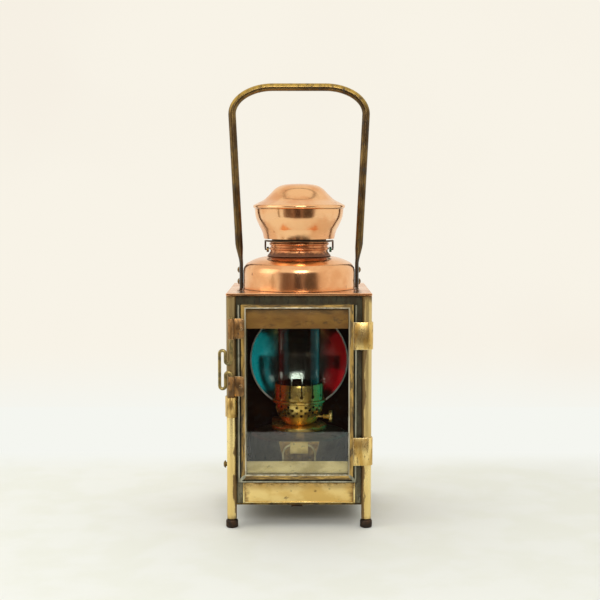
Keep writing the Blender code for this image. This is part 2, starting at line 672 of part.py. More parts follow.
def cowl(pivot):
    """The lift-off cowl: inner tube, spacers, flared funnel and bell-shaped lid with a rolled rim."""
    tube_low, tube_high = NECK_TOP - COWL_TUBE_DEPTH, NECK_TOP + COWL_TUBE_RISE
    tube = [(COWL_TUBE_RADIUS, tube_high), (COWL_TUBE_RADIUS, tube_low)]
    add("cowl_inner_tube", turned(shell(tube, ROOF_SHEET)), DARK_TIN, pivot)
    flare, step = FUNNEL_RIM - FUNNEL_KINK, FUNNEL_KINK - FUNNEL_FOOT
    line = [(FUNNEL_KINK + flare * r, COWL_BOTTOM + FUNNEL_HEIGHT * z) for r, z in FUNNEL_SHARES]
    across, up = FUNNEL_STEP_SHARES
    line += [(FUNNEL_FOOT + step * across, COWL_BOTTOM + FUNNEL_HEIGHT * up), (FUNNEL_FOOT, COWL_BOTTOM)]
    add("cowl", turned(shell(line, ROOF_SHEET)), COPPER, pivot)
    add("cowl_lid", turned(lid_profile(), ROUND_STEPS, False), COPPER, pivot)
    low = COWL_BOTTOM + SPACER_RISE
    high = low + SPACER_HEIGHT
    bore = COWL_TUBE_RADIUS + GAP
    ring = bore + ROOF_SHEET
    band = turned([(ring, high), (ring, low), (bore, low), (bore, high)])
    spider = add("cowl_spider", band, DARK_TIN, pivot)
    arms = bmesh.new()
    for i in range(SPACER_COUNT):
        block = box((bore + ROOF_SHEET / 2, -SPACER_WIDTH / 2, low + GAP),
                    (FUNNEL_FOOT - ROOF_SHEET - GAP, SPACER_WIDTH / 2, high - GAP))
        join(arms, placed(block, (0, 0, 0), Matrix.Rotation(math.tau * (i + 0.5) / SPACER_COUNT, 3, "Z")))
    boolean(spider, add("cowl_spider_arms", arms, DARK_TIN, pivot), "UNION")


def lid_profile():
    """A shallow ogee from the crown down to a rolled rim, then back under the sheet."""
    rim = LID_RIM - LID_BEAD
    line = [(LID_RIM * r, LID_BOTTOM + LID_HEIGHT * z) for r, z in LID_SHARES]
    bead = arc((rim, LID_BOTTOM + LID_BEAD), LID_BEAD, LID_ROLL_START, LID_ROLL_END, 4)
    under = [(max(r - ROOF_SHEET, 0), z - ROOF_SHEET) for r, z in reversed(line)]
    return line + bead + [(rim - LID_BEAD, LID_BOTTOM + LID_BEAD)] + under


def cowl_clip(pivot):
    """A bow of wire that stands over the front of the neck, its ends sprung into two lugs."""
    foot = NECK_RADIUS + NECK_BEAD + GAP + GAP
    top = CLIP_AXIS_Z + CLIP_RISE
    points = [(-foot, 0, CLIP_AXIS_Z), (-CLIP_REACH, 0, CLIP_AXIS_Z)]
    points += [(-CLIP_REACH, 0, CLIP_AXIS_Z + CLIP_RISE * share) for share in CLIP_RISE_SHARES]
    bow = arc((0, 0), CLIP_REACH, math.pi + CLIP_CORNER, math.tau - CLIP_CORNER, 18)
    points += [(x, y, top) for x, y in bow]
    points += [(CLIP_REACH, 0, CLIP_AXIS_Z + CLIP_RISE * share) for share in reversed(CLIP_RISE_SHARES)]
    points += [(CLIP_REACH, 0, CLIP_AXIS_Z), (foot, 0, CLIP_AXIS_Z)]
    wire("cowl_clip", points, CLIP_WIRE, DARK_BRASS, pivot)
    start = NECK_RADIUS + NECK_BEAD + GAP
    for name, side in (("left_clip_lug", -1), ("right_clip_lug", 1)):
        ring = turned([(LUG_RADIUS, LUG_LENGTH), (LUG_RADIUS, 0), (LUG_BORE, 0), (LUG_BORE, LUG_LENGTH)],
                      SMALL_STEPS)
        turn = Matrix.Rotation(side * math.pi / 2, 3, "Y")
        add(name, placed(ring, (side * start, 0, CLIP_AXIS_Z), turn), BRASS)


# Handle

def handle():
    """A round rod bent to a square-shouldered hoop, its ends flattened and riveted to the dome."""
    blade_x = DOME_RADIUS + GAP + HANDLE_BLADE_THICKNESS / 2
    top = PLATE_TOP + HANDLE_HEIGHT - HANDLE_ROD
    blade = (HANDLE_BLADE_THICKNESS / 2, HANDLE_BLADE_WIDTH / 2)
    rod = (HANDLE_ROD, HANDLE_ROD)
    half = [(blade_x, PLATE_TOP + GAP, blade), (blade_x, PLATE_TOP + HANDLE_BLADE_HEIGHT, blade)]
    start = PLATE_TOP + HANDLE_BLADE_HEIGHT
    for share in HANDLE_NECKING_SHARES:
        sizes = tuple(a + (b - a) * share for a, b in zip(blade, rod))
        half.append((blade_x + HANDLE_LEAN * share, start + HANDLE_NECKING * share, sizes))
    for x, z in arc((0, 0), 1, 0, math.pi / 2, 9):
        across = HANDLE_SPREAD - HANDLE_CORNER_REACH * (1 - x)
        half.append((across, top - HANDLE_CORNER * (1 - z), rod))
    sections = half + [(-x, z, sizes) for x, z, sizes in reversed(half)]
    add("carrying_handle", drawn_rod(sections, FINE_STEPS), DARK_BRASS)
    for hand, side in (("left", -1), ("right", 1)):
        for i, level in enumerate(("lower", "upper")):
            height = PLATE_TOP + HANDLE_RIVET_LOW + HANDLE_RIVET_PITCH * i
            place = (side * (blade_x + HANDLE_BLADE_THICKNESS / 2 + GAP), 0, height)
            head = rounded_head(HANDLE_RIVET_RADIUS, HANDLE_RIVET_HEIGHT)
            head = placed(head, place, Matrix.Rotation(side * math.pi / 2, 3, "Y"))
            add(f"{hand}_{level}_handle_rivet", head, DARK_BRASS)


def drawn_rod(sections, sides):
    """A rod in the plane y = 0, bridged from section to section, round or flattened."""
    bm = bmesh.new()
    loops = []
    for i, (x, z, (thick, wide)) in enumerate(sections):
        before = Vector(sections[max(i - 1, 0)][:2])
        after = Vector(sections[min(i + 1, len(sections) - 1)][:2])
        run = (after - before).normalized()
        across = Vector((-run.y, 0, run.x))
        ring = []
        for k in range(sides):
            turn = math.tau * (k + 0.5) / sides
            point = Vector((x, wide * math.sin(turn), z)) + across * thick * math.cos(turn)
            ring.append(bm.verts.new(point))
        if i in (0, len(sections) - 1):
            bm.faces.new(ring)
        loops.append([ring_edge(bm, ring, k) for k in range(sides)])
    for first, second in zip(loops, loops[1:]):
        bmesh.ops.bridge_loops(bm, edges=first + second)
    return bm


def ring_edge(bm, ring, k):
    """The edge between a ring's vertex and the one before it, made if it isn't there."""
    pair = (ring[k], ring[k - 1])
    return bm.edges.get(pair) or bm.edges.new(pair)


# Door, hinge and latch

def door(pivot):
    """The door: a grooved frame, its pane, and the two brass strips that hold the pane from behind."""
    front, back = -DOOR_FRONT, -DOOR_BACK
    groove = DOOR_BEAD + DOOR_GROOVE_WIDTH
    section = [(0, back), (0, front), (DOOR_BEAD, front), (DOOR_BEAD, front + DOOR_GROOVE_DEPTH),
               (groove, front + DOOR_GROOVE_DEPTH), (groove, front), (DOOR_BAR, front),
               (DOOR_BAR, front + DOOR_SKIN), (DOOR_FLANGE, front + DOOR_SKIN), (DOOR_FLANGE, back)]
    frame = picture_frame(section, DOOR_LEFT, DOOR_RIGHT, DOOR_BOTTOM, DOOR_TOP + DOOR_BAR - DOOR_TOP_BAR)
    bmesh.ops.bisect_plane(frame, geom=frame.verts[:] + frame.edges[:] + frame.faces[:],
                           plane_co=(0, 0, DOOR_TOP), plane_no=(0, 0, 1), clear_outer=True)
    bmesh.ops.holes_fill(frame, edges=[e for e in frame.edges if e.is_boundary])
    add("door_frame", frame, SOLDERED, pivot)
    inset = DOOR_FLANGE + GAP
    left, right = DOOR_LEFT + inset, DOOR_RIGHT - inset
    low, high = DOOR_BOTTOM + inset, DOOR_TOP - GAP
    pane_front = front + DOOR_SKIN + GAP
    pane_back = pane_front + DOOR_GLASS_THICKNESS
    add("door_glass", box((left, pane_front, low), (right, pane_back, high)), CLEAR_GLASS, pivot)
    strip = pane_back + GAP
    strip_top = DOOR_TOP - DOOR_TOP_BAR
    strip_low = DOOR_BOTTOM + DOOR_BAR - GAP
    for name, bottom, top in (("door_top_strip", strip_top - TOP_STRIP_HEIGHT, strip_top),
                              ("door_bottom_strip", strip_low, strip_low + BOTTOM_STRIP_HEIGHT)):
        add(name, box((left, strip, bottom), (right, strip + STRIP_THICKNESS, top)), BRASS, pivot)


def hinge_straps(pivot):
    """Each strap lies on the door frame, runs to the post and wraps round it."""
    for name, (bottom, height) in zip(("lower_hinge_strap", "upper_hinge_strap"), straps()):
        tail = DOOR_RIGHT - STRAP_LAP
        outline = [(tail, -POST_AT - STRAP_OUTSIDE)]
        outline += arc((POST_AT, -POST_AT), STRAP_OUTSIDE, -math.pi / 2, STRAP_WRAP, 14)
        outline += arc((POST_AT, -POST_AT), STRAP_BORE, STRAP_WRAP, -math.pi / 2, 14)
        outline.append((tail, -POST_AT - STRAP_BORE))
        add(name, extruded(outline, "Z", bottom, bottom + height), BRIGHT_BRASS, pivot)


def latch_guides(pivot):
    """Two rolled guides for the bolt, each with a round-cornered leaf and the rivet that holds it."""
    end = DOOR_LEFT + LEAF_REACH
    guides = {"upper_latch_guide": UPPER_GUIDE_BOTTOM, "lower_latch_guide": LOWER_GUIDE_BOTTOM}
    for name, bottom in guides.items():
        top = bottom + GUIDE_HEIGHT
        roll = pin(GUIDE_RADIUS, bottom, top)
        guide = add(name, placed(roll, (BOLT_X, BOLT_Y, 0)), BRASS, pivot)
        outline = [(BOLT_X, bottom + GAP)]
        outline += arc((end - LEAF_CORNER, bottom + GAP + LEAF_CORNER), LEAF_CORNER, -math.pi / 2, 0, 4)
        outline += arc((end - LEAF_CORNER, top - GAP - LEAF_CORNER), LEAF_CORNER, 0, math.pi / 2, 4)
        outline.append((BOLT_X, top - GAP))
        leaf = extruded(outline, "Y", -LEAF_BACK - STRAP_THICKNESS, -LEAF_BACK)
        boolean(guide, add(name + "_leaf", leaf, BRASS), "UNION")
        bore = pin(GUIDE_BORE, bottom - OVERRUN, top + OVERRUN)
        boolean(guide, add(name + "_bore", placed(bore, (BOLT_X, BOLT_Y, 0)), BRASS), "DIFFERENCE")
        head = rounded_head(RIVET_RADIUS, RIVET_HEIGHT + GAP, FINE_STEPS)
        place = (end - LEAF_CORNER, GAP - LEAF_BACK - STRAP_THICKNESS, (bottom + top) / 2)
        head = placed(head, place, Matrix.Rotation(math.pi / 2, 3, "X"))
        boolean(guide, add(name + "_rivet", head, BRASS), "UNION")


def latch_keeper():
    """A strap round the front of the left post with an upright socket for the bolt's tip."""
    top = LOWER_GUIDE_BOTTOM - GAP
    bottom = top - KEEPER_HEIGHT
    outline = arc((-POST_AT, -POST_AT), STRAP_OUTSIDE, math.radians(135), math.tau, 16)
    outline += arc((-POST_AT, -POST_AT), STRAP_BORE, math.tau, math.radians(135), 16)
    keeper = add("latch_keeper", extruded(outline, "Z", bottom, top), BRASS)
    boss = pin(KEEPER_RADIUS, bottom + GAP, top)
    boolean(keeper, add("keeper_boss", placed(boss, (BOLT_X, BOLT_Y, 0)), BRASS), "UNION")
    for name, radius, x, y in (("keeper_bore", KEEPER_BORE, BOLT_X, BOLT_Y),
                               ("keeper_post_cutter", STRAP_BORE, -POST_AT, -POST_AT)):
        bore = pin(radius, bottom - OVERRUN, top + OVERRUN)
        boolean(keeper, add(name, placed(bore, (x, y, 0)), BRASS), "DIFFERENCE")


def latch_bolt(pivot):
    """One wire: down through the upper guide, a curl, the finger loop, a curl, down into the lower guide."""
    curl, loop = CURL_SPAN / 2, LOOP_SPAN / 2
    leg, outer = BOLT_X - CURL_SPAN, BOLT_X - CURL_SPAN - LOOP_SPAN
    upper_turn = UPPER_GUIDE_BOTTOM - UPPER_CURL_HANG + curl
    loop_top = upper_turn + LOOP_RISE - loop
    lower_turn = LOWER_GUIDE_BOTTOM + GUIDE_HEIGHT + BOLT_DROP + GAP + BOLT_RADIUS - curl
    loop_bottom = lower_turn + curl - LOOP_FALL + loop
    line = [(BOLT_X, UPPER_GUIDE_BOTTOM + GUIDE_HEIGHT + BOLT_TOP_REACH)]
    line += arc((BOLT_X - curl, upper_turn), curl, 0, -math.pi, 6)
    line += arc((leg - loop, loop_top), loop, 0, math.pi, 6)
    line += arc((leg - loop, loop_bottom), loop, math.pi, math.tau, 6)
    line += arc((BOLT_X - curl, lower_turn), curl, math.pi, 0, 6)
    line.append((BOLT_X, LOWER_GUIDE_BOTTOM))
    wire("latch_bolt", [(x, BOLT_Y, z) for x, z in line], BOLT_RADIUS, DARK_BRASS, pivot)


# Reflector and fount

def reflector():
    """A spun dish facing the door, rim wired, its middle against the back wall."""
    ball = (DISH_RADIUS * DISH_RADIUS + DISH_DEPTH * DISH_DEPTH) / (2 * DISH_DEPTH)
    reach = math.asin(DISH_RADIUS / ball)
    turns = [reach * i / DISH_STEPS for i in range(DISH_STEPS + 1)]
    hollow = [(ball * math.sin(t), ball * (1 - math.cos(t))) for t in turns]
    back = [(r, z - DISH_SHEET) for r, z in hollow]
    bead = arc((DISH_RADIUS, DISH_DEPTH), DISH_WIRE, DISH_ROLL_START, DISH_ROLL_END, 4)
    dish = turned(hollow + bead + back[::-1], ROUND_STEPS, False)
    place = (0, WALL_INSIDE - GAP - DISH_SHEET, DISH_CENTRE)
    add("reflector", placed(dish, place, Matrix.Rotation(math.pi / 2, 3, "X")), SILVERED)


def fount():
    """The round oil fount on its shelf, with a crowned top, a mouth for the burner and a filler cap."""
    edge = FOUNT_BOTTOM + FOUNT_HEIGHT
    side = FOUNT_RADIUS - FOUNT_EDGE
    line = [(FOUNT_MOUTH, FOUNT_TOP), (COLLAR_RADIUS + GAP, FOUNT_TOP), (side, edge),
            (FOUNT_RADIUS, edge - FOUNT_EDGE), (FOUNT_RADIUS, FOUNT_BOTTOM + FOUNT_EDGE),
            (side, FOUNT_BOTTOM)]
    inside = [(side - FOUNT_SHEET / 2, FOUNT_BOTTOM + FOUNT_SHEET),
              (FOUNT_RADIUS - FOUNT_SHEET, FOUNT_BOTTOM + FOUNT_EDGE),
              (FOUNT_RADIUS - FOUNT_SHEET, edge - FOUNT_EDGE), (side - FOUNT_SHEET / 2, edge - FOUNT_SHEET),
              (COLLAR_RADIUS, FOUNT_TOP - FOUNT_SHEET), (FOUNT_MOUTH, FOUNT_TOP - FOUNT_SHEET)]
    profile = line + [(0, FOUNT_BOTTOM)]
    closed = turned(profile + [(0, FOUNT_BOTTOM + FOUNT_SHEET)] + inside, ROUND_STEPS)
    add("oil_fount", closed, DARK_TIN)
    slope = FOUNT_CROWN / (side - COLLAR_RADIUS - GAP)
    margin = FOUNT_RADIUS - COLLAR_RADIUS
    middle, radius = COLLAR_RADIUS + margin * CAP_PLACE_SHARE, margin * CAP_SIZE_SHARE
    low = edge + (side - middle + radius) * slope + GAP
    cap = turned([(0, CAP_HEIGHT), (radius - CAP_EDGE, CAP_HEIGHT), (radius, CAP_HEIGHT - CAP_EDGE),
                  (radius, 0), (0, 0)], SMALL_STEPS, False)
    turn = Matrix.Rotation(CAP_TURN, 3, "Z")
    place = turn @ Vector((middle, 0, low))
    add("fount_filler_cap", placed(cap, place), BRASS)


def pull_ring(pivot):
    """A tapered plate on the fount's front, a strap across it, and the wire ring that hangs in the strap."""
    top = ring_axis()[2] + RING_STRAP_RISE
    back = -(FOUNT_RADIUS + GAP)
    plate_front = back - RING_PLATE_THICKNESS
    foot, head = RING_PLATE_FOOT_WIDTH / 2, RING_PLATE_TOP_WIDTH / 2
    outline = [(-foot, top - RING_PLATE_HEIGHT), (foot, top - RING_PLATE_HEIGHT), (head, top), (-head, top)]
    plate = add("ring_plate", extruded(outline, "Y", plate_front, back), BRASS)
    half = RING_STRAP_WIDTH / 2
    low, high = top - RING_STRAP_HEIGHT, top
    tunnel = RING_WIRE + GAP
    middle = ring_axis()[1]
    seat = plate_front + RING_PLATE_THICKNESS / 2
    outline = [(seat, high), (middle - tunnel - RING_STRAP_SHEET, high),
               (middle - tunnel - RING_STRAP_SHEET, low), (seat, low),
               (seat, low + RING_STRAP_SHEET), (middle - tunnel, low + RING_STRAP_SHEET),
               (middle - tunnel, high - RING_STRAP_SHEET), (seat, high - RING_STRAP_SHEET)]
    boolean(plate, add("ring_strap", extruded(outline, "X", -half, half), BRASS), "UNION")
    reach, corner = RING_SPAN / 2, RING_CORNER
    x, y, z = ring_axis()
    line = arc((reach - corner, z - corner), corner, math.pi / 2, 0, 5)
    line += arc((reach - corner, z - RING_DROP + corner), corner, 0, -math.pi / 2, 5)
    line += arc((corner - reach, z - RING_DROP + corner), corner, -math.pi / 2, -math.pi, 5)
    line += arc((corner - reach, z - corner), corner, math.pi, math.pi / 2, 5)
    wire("ring_pull", [(a, y, b) for a, b in line], RING_WIRE, BRASS, pivot, closed=True)


def ring_axis():
    """The line about which the pull ring swings, in the top of its strap."""
    forward = FOUNT_RADIUS + GAP + RING_PLATE_THICKNESS + GAP + RING_WIRE + GAP
    return Vector((0, -forward, FOUNT_BOTTOM + FOUNT_HEIGHT - RING_STRAP_RISE))


# Burner

def basket_radius(height):
    """The basket's outer radius at a height above its foot: a bowl that opens upwards."""
    share = (height - BASKET_NECK_HEIGHT) / (BASKET_HEIGHT - BASKET_NECK_HEIGHT)
    return BASKET_FOOT + (BASKET_TOP - BASKET_FOOT) * math.sin(share * math.pi / 2)


def burner():
    """Collar, perforated basket, gallery ring and slotted crown, one on the other about the wick tube."""
    bore = WICK_TUBE_RADIUS + GAP
    low, high = COLLAR_BOTTOM, COLLAR_BOTTOM + COLLAR_HEIGHT
    flat = COLLAR_RADIUS - COLLAR_EDGE
    add("burner_collar", turned([(bore, high), (flat, high), (COLLAR_RADIUS, high - COLLAR_EDGE),
                                 (COLLAR_RADIUS, low + COLLAR_EDGE), (flat, low), (bore, low)]), BRIGHT_BRASS)
    basket()
    low, high = GALLERY_BOTTOM, GALLERY_BOTTOM + GALLERY_HEIGHT
    bead = GALLERY_HEIGHT / 2
    rim = arc((GALLERY_RADIUS - bead, low + bead), bead, math.pi / 2, -math.pi / 2, 4)
    add("burner_gallery", turned([(GALLERY_MOUTH, high)] + rim + [(GALLERY_MOUTH, low)]), BRIGHT_BRASS)
    crown()


def basket():
    """The air basket: a spun bowl on a short neck, pierced by staggered rows of round holes."""
    bowl_height = BASKET_HEIGHT - BASKET_NECK_HEIGHT
    heights = [BASKET_HEIGHT - bowl_height * i / BASKET_STEPS for i in range(BASKET_STEPS + 1)]
    line = [(basket_radius(h), BASKET_BOTTOM + h) for h in heights] + [(BASKET_NECK, BASKET_BOTTOM)]
    bowl = add("burner_basket", turned(shell(line, BASKET_SHEET), TUBE_STEPS), BRIGHT_BRASS)
    x = math.sqrt(basket_radius(SPINDLE_RISE) ** 2 - SPINDLE_Y**2)
    spindle_turn = math.atan2(SPINDLE_Y, x)
    pins = bmesh.new()
    for row in range(BASKET_ROWS):
        height = BASKET_FIRST_ROW + BASKET_ROW_PITCH * row
        for i in range(BASKET_HOLES):
            turn = math.tau * (i + row % 2 / 2) / BASKET_HOLES
            apart = abs((turn - spindle_turn + math.pi) % math.tau - math.pi)
            near = abs(height - SPINDLE_RISE) < BASKET_ROW_PITCH and apart < math.tau / BASKET_HOLES
            if not near:
                join(pins, radial_pin(BASKET_HOLE, basket_radius(height), BASKET_BOTTOM + height, turn))
    shaft_hole = SPINDLE_RADIUS + SPINDLE_CLEARANCE
    shaft = pin(shaft_hole, x - OVERRUN, x + OVERRUN, FINE_STEPS)
    join(pins, placed(shaft, (0, SPINDLE_Y, SPINDLE_Z), Matrix.Rotation(math.pi / 2, 3, "Y")))
    boolean(bowl, add("basket_cutters", pins, IRON), "DIFFERENCE")


def radial_pin(radius, reach, height, turn):
    """A short cylinder that points out from the axis, for piercing a round wall."""
    far, near = reach + OVERRUN, reach - OVERRUN
    turned_out = Matrix.Rotation(turn, 3, "Z") @ Matrix.Rotation(math.pi / 2, 3, "Y")
    return placed(pin(radius, near, far, HOLE_SIDES), (0, 0, height), turned_out)


def crown():
    """The crown that grips the chimney: a thin tube with keyhole slots all round."""
    low, high = CROWN_BOTTOM, CROWN_BOTTOM + CROWN_HEIGHT
    tube = turned(shell([(CROWN_RADIUS, high), (CROWN_RADIUS, low)], CROWN_SHEET), CROWN_SLOTS * CROWN_STEPS)
    ring = add("burner_crown", tube, BRIGHT_BRASS)
    keys = bmesh.new()
    foot = low + CROWN_SLOT_RISE
    half = CROWN_SLOT_WIDTH / 2
    spread = math.asin(CROWN_SLOT_WIDTH / (2 * CROWN_KEYHOLE))
    for i in range(CROWN_SLOTS):
        outline = arc((0, foot), CROWN_KEYHOLE, math.pi / 2 + spread, math.tau + math.pi / 2 - spread, 6)
        outline += [(half, foot + CROWN_SLOT_HEIGHT), (-half, foot + CROWN_SLOT_HEIGHT)]
        key = extruded(outline, "Y", -CROWN_RADIUS - OVERRUN, -CROWN_RADIUS + CROWN_SHEET + OVERRUN)
        turn = CROWN_SLOT_PHASE + math.pi / 2 + math.tau * i / CROWN_SLOTS
        join(keys, placed(key, (0, 0, 0), Matrix.Rotation(turn, 3, "Z")))
    boolean(ring, add("crown_cutters", keys, IRON), "DIFFERENCE")


def chimney():
    """The glass chimney, standing on the gallery inside the crown and narrowing towards the neck."""
    low = CROWN_BOTTOM
    shrink = CHIMNEY_RADIUS - CHIMNEY_MOUTH
    line = [(CHIMNEY_RADIUS - shrink * r, low + CHIMNEY_HEIGHT * z) for r, z in CHIMNEY_SHARES]
    add("glass_chimney", turned(shell(line, CHIMNEY_GLASS), TUBE_STEPS), CLEAR_GLASS)


def wick_and_winder(wick_pivot, knob_pivot):
    """The wick in its tube, and the spindle whose toothed wheels reach it through two windows."""
    outer = WICK_TUBE_RADIUS
    low = COLLAR_BOTTOM - WICK_TUBE_DEPTH
    sleeve = shell([(outer, WICK_TUBE_TOP), (outer, low)], WICK_TUBE_SHEET)
    tube = add("wick_tube", turned(sleeve, TUBE_STEPS), BRASS)
    windows = bmesh.new()
    room = WHEEL_WIDTH / 2 + GAP
    height = WHEEL_RADIUS + GAP
    for side in (-WHEEL_AT, WHEEL_AT):
        join(windows, box((side - room, -outer - OVERRUN, SPINDLE_Z - height),
                          (side + room, -outer + OVERRUN, SPINDLE_Z + height)))
    boolean(tube, add("wick_tube_windows", windows, IRON), "DIFFERENCE")
    wick_radius = outer - WICK_TUBE_SHEET - WICK_CLEARANCE
    line = [(wick_radius, WICK_TUBE_TOP + WICK_SHOWS), (wick_radius, low + WICK_THICKNESS)]
    add("wick", turned(shell(line, WICK_THICKNESS), TUBE_STEPS), COTTON, wick_pivot)
    across = Matrix.Rotation(math.pi / 2, 3, "Y")
    axis = (0, SPINDLE_Y, SPINDLE_Z)
    end = KNOB_START - GAP
    rod_start = -WHEEL_AT - WHEEL_WIDTH
    rod = pin(SPINDLE_RADIUS, rod_start, end, FINE_STEPS)
    spindle = add("wick_spindle", placed(rod, axis, across), BRASS, knob_pivot)
    wheels = bmesh.new()
    for side in (-WHEEL_AT, WHEEL_AT):
        low, high = side - WHEEL_WIDTH / 2, side + WHEEL_WIDTH / 2
        join(wheels, placed(toothed_disc(WHEEL_RADIUS, WHEEL_TOOTH, WHEEL_TEETH, low, high), axis, across))
    boolean(spindle, add("spindle_wheels", wheels, BRASS, knob_pivot), "UNION")
    boss_end = KNOB_START + KNOB_BOSS_LENGTH
    disc = toothed_disc(KNOB_RADIUS, KNOB_RIB, KNOB_RIBS, boss_end, boss_end + KNOB_THICKNESS)
    knob = add("wick_knob", placed(disc, axis, across), BRIGHT_BRASS, knob_pivot)
    root = boss_end + KNOB_THICKNESS / 2
    boss = pin(KNOB_BOSS, KNOB_START, root)
    boolean(knob, add("knob_boss", placed(boss, axis, across), BRASS, knob_pivot), "UNION")


def toothed_disc(radius, depth, teeth, low, high):
    """A disc with a toothed edge between two heights; it stands along z until it is turned to its axis."""
    outline = []
    for i in range(2 * teeth):
        reach = radius if i % 2 else radius - depth
        turn = math.tau * i / (2 * teeth)
        outline.append((reach * math.cos(turn), reach * math.sin(turn)))
    return extruded(outline, "Z", low, high)


floor_plates()
posts_and_feet()
base_fittings()
walls()
side_windows()
roof()
handle()
reflector()
fount()
burner()
chimney()
latch_keeper()

door_pivot = empty("door_pivot", (POST_AT, -POST_AT, 0))
door(door_pivot)
hinge_straps(door_pivot)
latch_guides(door_pivot)
latch_bolt(empty("bolt_slide", (BOLT_X, BOLT_Y, LOWER_GUIDE_BOTTOM), door_pivot))
cowl(empty("cowl_slide", (0, 0, NECK_TOP)))
cowl_clip(empty("clip_pivot", (0, 0, CLIP_AXIS_Z)))
pull_ring(empty("ring_pivot", ring_axis()))
wick_and_winder(empty("wick_slide", (0, 0, WICK_TUBE_TOP)), empty("knob_pivot", (0, SPINDLE_Y, SPINDLE_Z)))
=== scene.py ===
import math

import bmesh
import bpy
from mathutils import Matrix, Vector


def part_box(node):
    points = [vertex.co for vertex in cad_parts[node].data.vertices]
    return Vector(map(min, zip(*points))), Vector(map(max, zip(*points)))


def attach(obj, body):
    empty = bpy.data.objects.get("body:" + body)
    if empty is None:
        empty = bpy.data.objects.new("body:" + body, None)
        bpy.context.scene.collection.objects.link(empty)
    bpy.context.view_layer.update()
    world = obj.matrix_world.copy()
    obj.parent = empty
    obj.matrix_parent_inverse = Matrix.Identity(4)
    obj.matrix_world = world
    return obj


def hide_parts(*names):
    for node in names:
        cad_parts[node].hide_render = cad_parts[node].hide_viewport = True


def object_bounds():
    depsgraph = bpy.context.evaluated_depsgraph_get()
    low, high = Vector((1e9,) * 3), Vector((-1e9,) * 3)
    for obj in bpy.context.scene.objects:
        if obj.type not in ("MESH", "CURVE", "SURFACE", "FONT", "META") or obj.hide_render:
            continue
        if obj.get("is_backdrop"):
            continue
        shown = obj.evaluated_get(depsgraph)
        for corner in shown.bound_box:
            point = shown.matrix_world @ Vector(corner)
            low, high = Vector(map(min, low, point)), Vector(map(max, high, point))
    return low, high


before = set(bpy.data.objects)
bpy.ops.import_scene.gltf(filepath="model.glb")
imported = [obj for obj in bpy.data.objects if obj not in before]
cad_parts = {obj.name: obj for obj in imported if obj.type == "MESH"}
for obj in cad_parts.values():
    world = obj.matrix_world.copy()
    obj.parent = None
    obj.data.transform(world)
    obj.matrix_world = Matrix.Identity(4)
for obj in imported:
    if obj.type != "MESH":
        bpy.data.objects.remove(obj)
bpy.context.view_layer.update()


# The view: a long lens a little above the roof, tipped slightly down at the lamp's middle.
# Every length in this file is written in millimetres and turned to metres by MM.
MM = 0.001
camera_lens = 67.68
camera_place = (0.9 * MM, -1118.5 * MM, 289.7 * MM)
camera_pitch = math.radians(-5.066)

camera = bpy.data.objects.new("camera", bpy.data.cameras.new("camera"))
bpy.context.scene.collection.objects.link(camera)
camera.data.lens = camera_lens
camera.location = camera_place
camera.rotation_euler = (math.pi / 2 + camera_pitch, 0, 0)
bpy.context.scene.camera = camera
bpy.context.scene.view_settings.view_transform = "Standard"


# The room: warm off-white plaster all round. In front of the lamp stand darker things, window bars and
# the photographer's side of the room, which only the polished metal and the glass show.
def linear(hex_colour):
    """An sRGB hex colour as the linear values that a shader takes."""
    values = [int(hex_colour[i:i + 2], 16) / 255 for i in (1, 3, 5)]
    return [v / 12.92 if v <= 0.04045 else ((v + 0.055) / 1.055) ** 2.4 for v in values] + [1.0]


def node(tree, kind, inputs=None, **settings):
    """Adds one shader node; an input is a value or another node's socket."""
    made = tree.nodes.new("ShaderNode" + kind)
    for key, value in settings.items():
        setattr(made, key, value)
    for key, value in (inputs or {}).items():
        if isinstance(value, bpy.types.NodeSocket):
            tree.links.new(value, made.inputs[key])
        else:
            made.inputs[key].default_value = value
    return made


def mixed(tree, share, first, second):
    """A colour between two colours."""
    return node(tree, "Mix", {0: share, 6: first, 7: second}, data_type="RGBA").outputs[2]


def ramp(tree, value, start, end, low=0.0, high=1.0):
    """A value eased from low at start to high at end."""
    inputs = {"Value": value, "From Min": start, "From Max": end, "To Min": low, "To Max": high}
    return node(tree, "MapRange", inputs, interpolation_type="SMOOTHSTEP").outputs["Result"]


def combined(tree, operation, first, second):
    """Two values put through a sum."""
    return node(tree, "Math", {0: first, 1: second}, operation=operation).outputs["Value"]


def band(tree, value, start, end, soft):
    """1 between start and end, fading out over a soft width on both sides."""
    return combined(tree, "MULTIPLY", ramp(tree, value, start - soft, start), ramp(tree, value, end + soft, end))


wall_colour = "#F8F3E7"
wall_foot_colour = "#F5F6F0"
wall_stain_colour = "#F6F0E4"
front_side = (-39, 39, "#9A8272")
front_bars = [(-34, -19, "#6E584A"), (-11, 4, "#3A2620"), (12, 35, "#4E4238"), (-57, -54, "#8A7040")]
bars_fade_from, bars_fade_to = math.sin(math.radians(7)), math.sin(math.radians(18))
behind_glass, beside_glass = (-50, 50, "#241C18"), (36, 64)
room_light = 0.62

world = bpy.data.worlds.new("plaster_room")
bpy.context.scene.world = world
world.use_nodes = True
tree = world.node_tree
tree.nodes.clear()
direction = node(tree, "TexCoord").outputs["Generated"]
across = node(tree, "SeparateXYZ", {"Vector": direction})
cloud = node(tree, "TexNoise", {"Vector": direction, "Scale": 3.2, "Detail": 3.0}).outputs["Fac"]
plaster = mixed(tree, ramp(tree, cloud, 0.42, 0.66), linear(wall_colour), linear(wall_stain_colour))
plaster = mixed(tree, ramp(tree, across.outputs["Z"], -0.2, -0.12), linear(wall_foot_colour), plaster)
ahead = combined(tree, "MULTIPLY", across.outputs["Y"], -1.0)
azimuth = combined(tree, "MULTIPLY", combined(tree, "ARCTAN2", across.outputs["X"], ahead), 180 / math.pi)
rays = node(tree, "LightPath")
through = rays.outputs["Is Transmission Ray"]
low_down = ramp(tree, across.outputs["Z"], bars_fade_to, bars_fade_from)
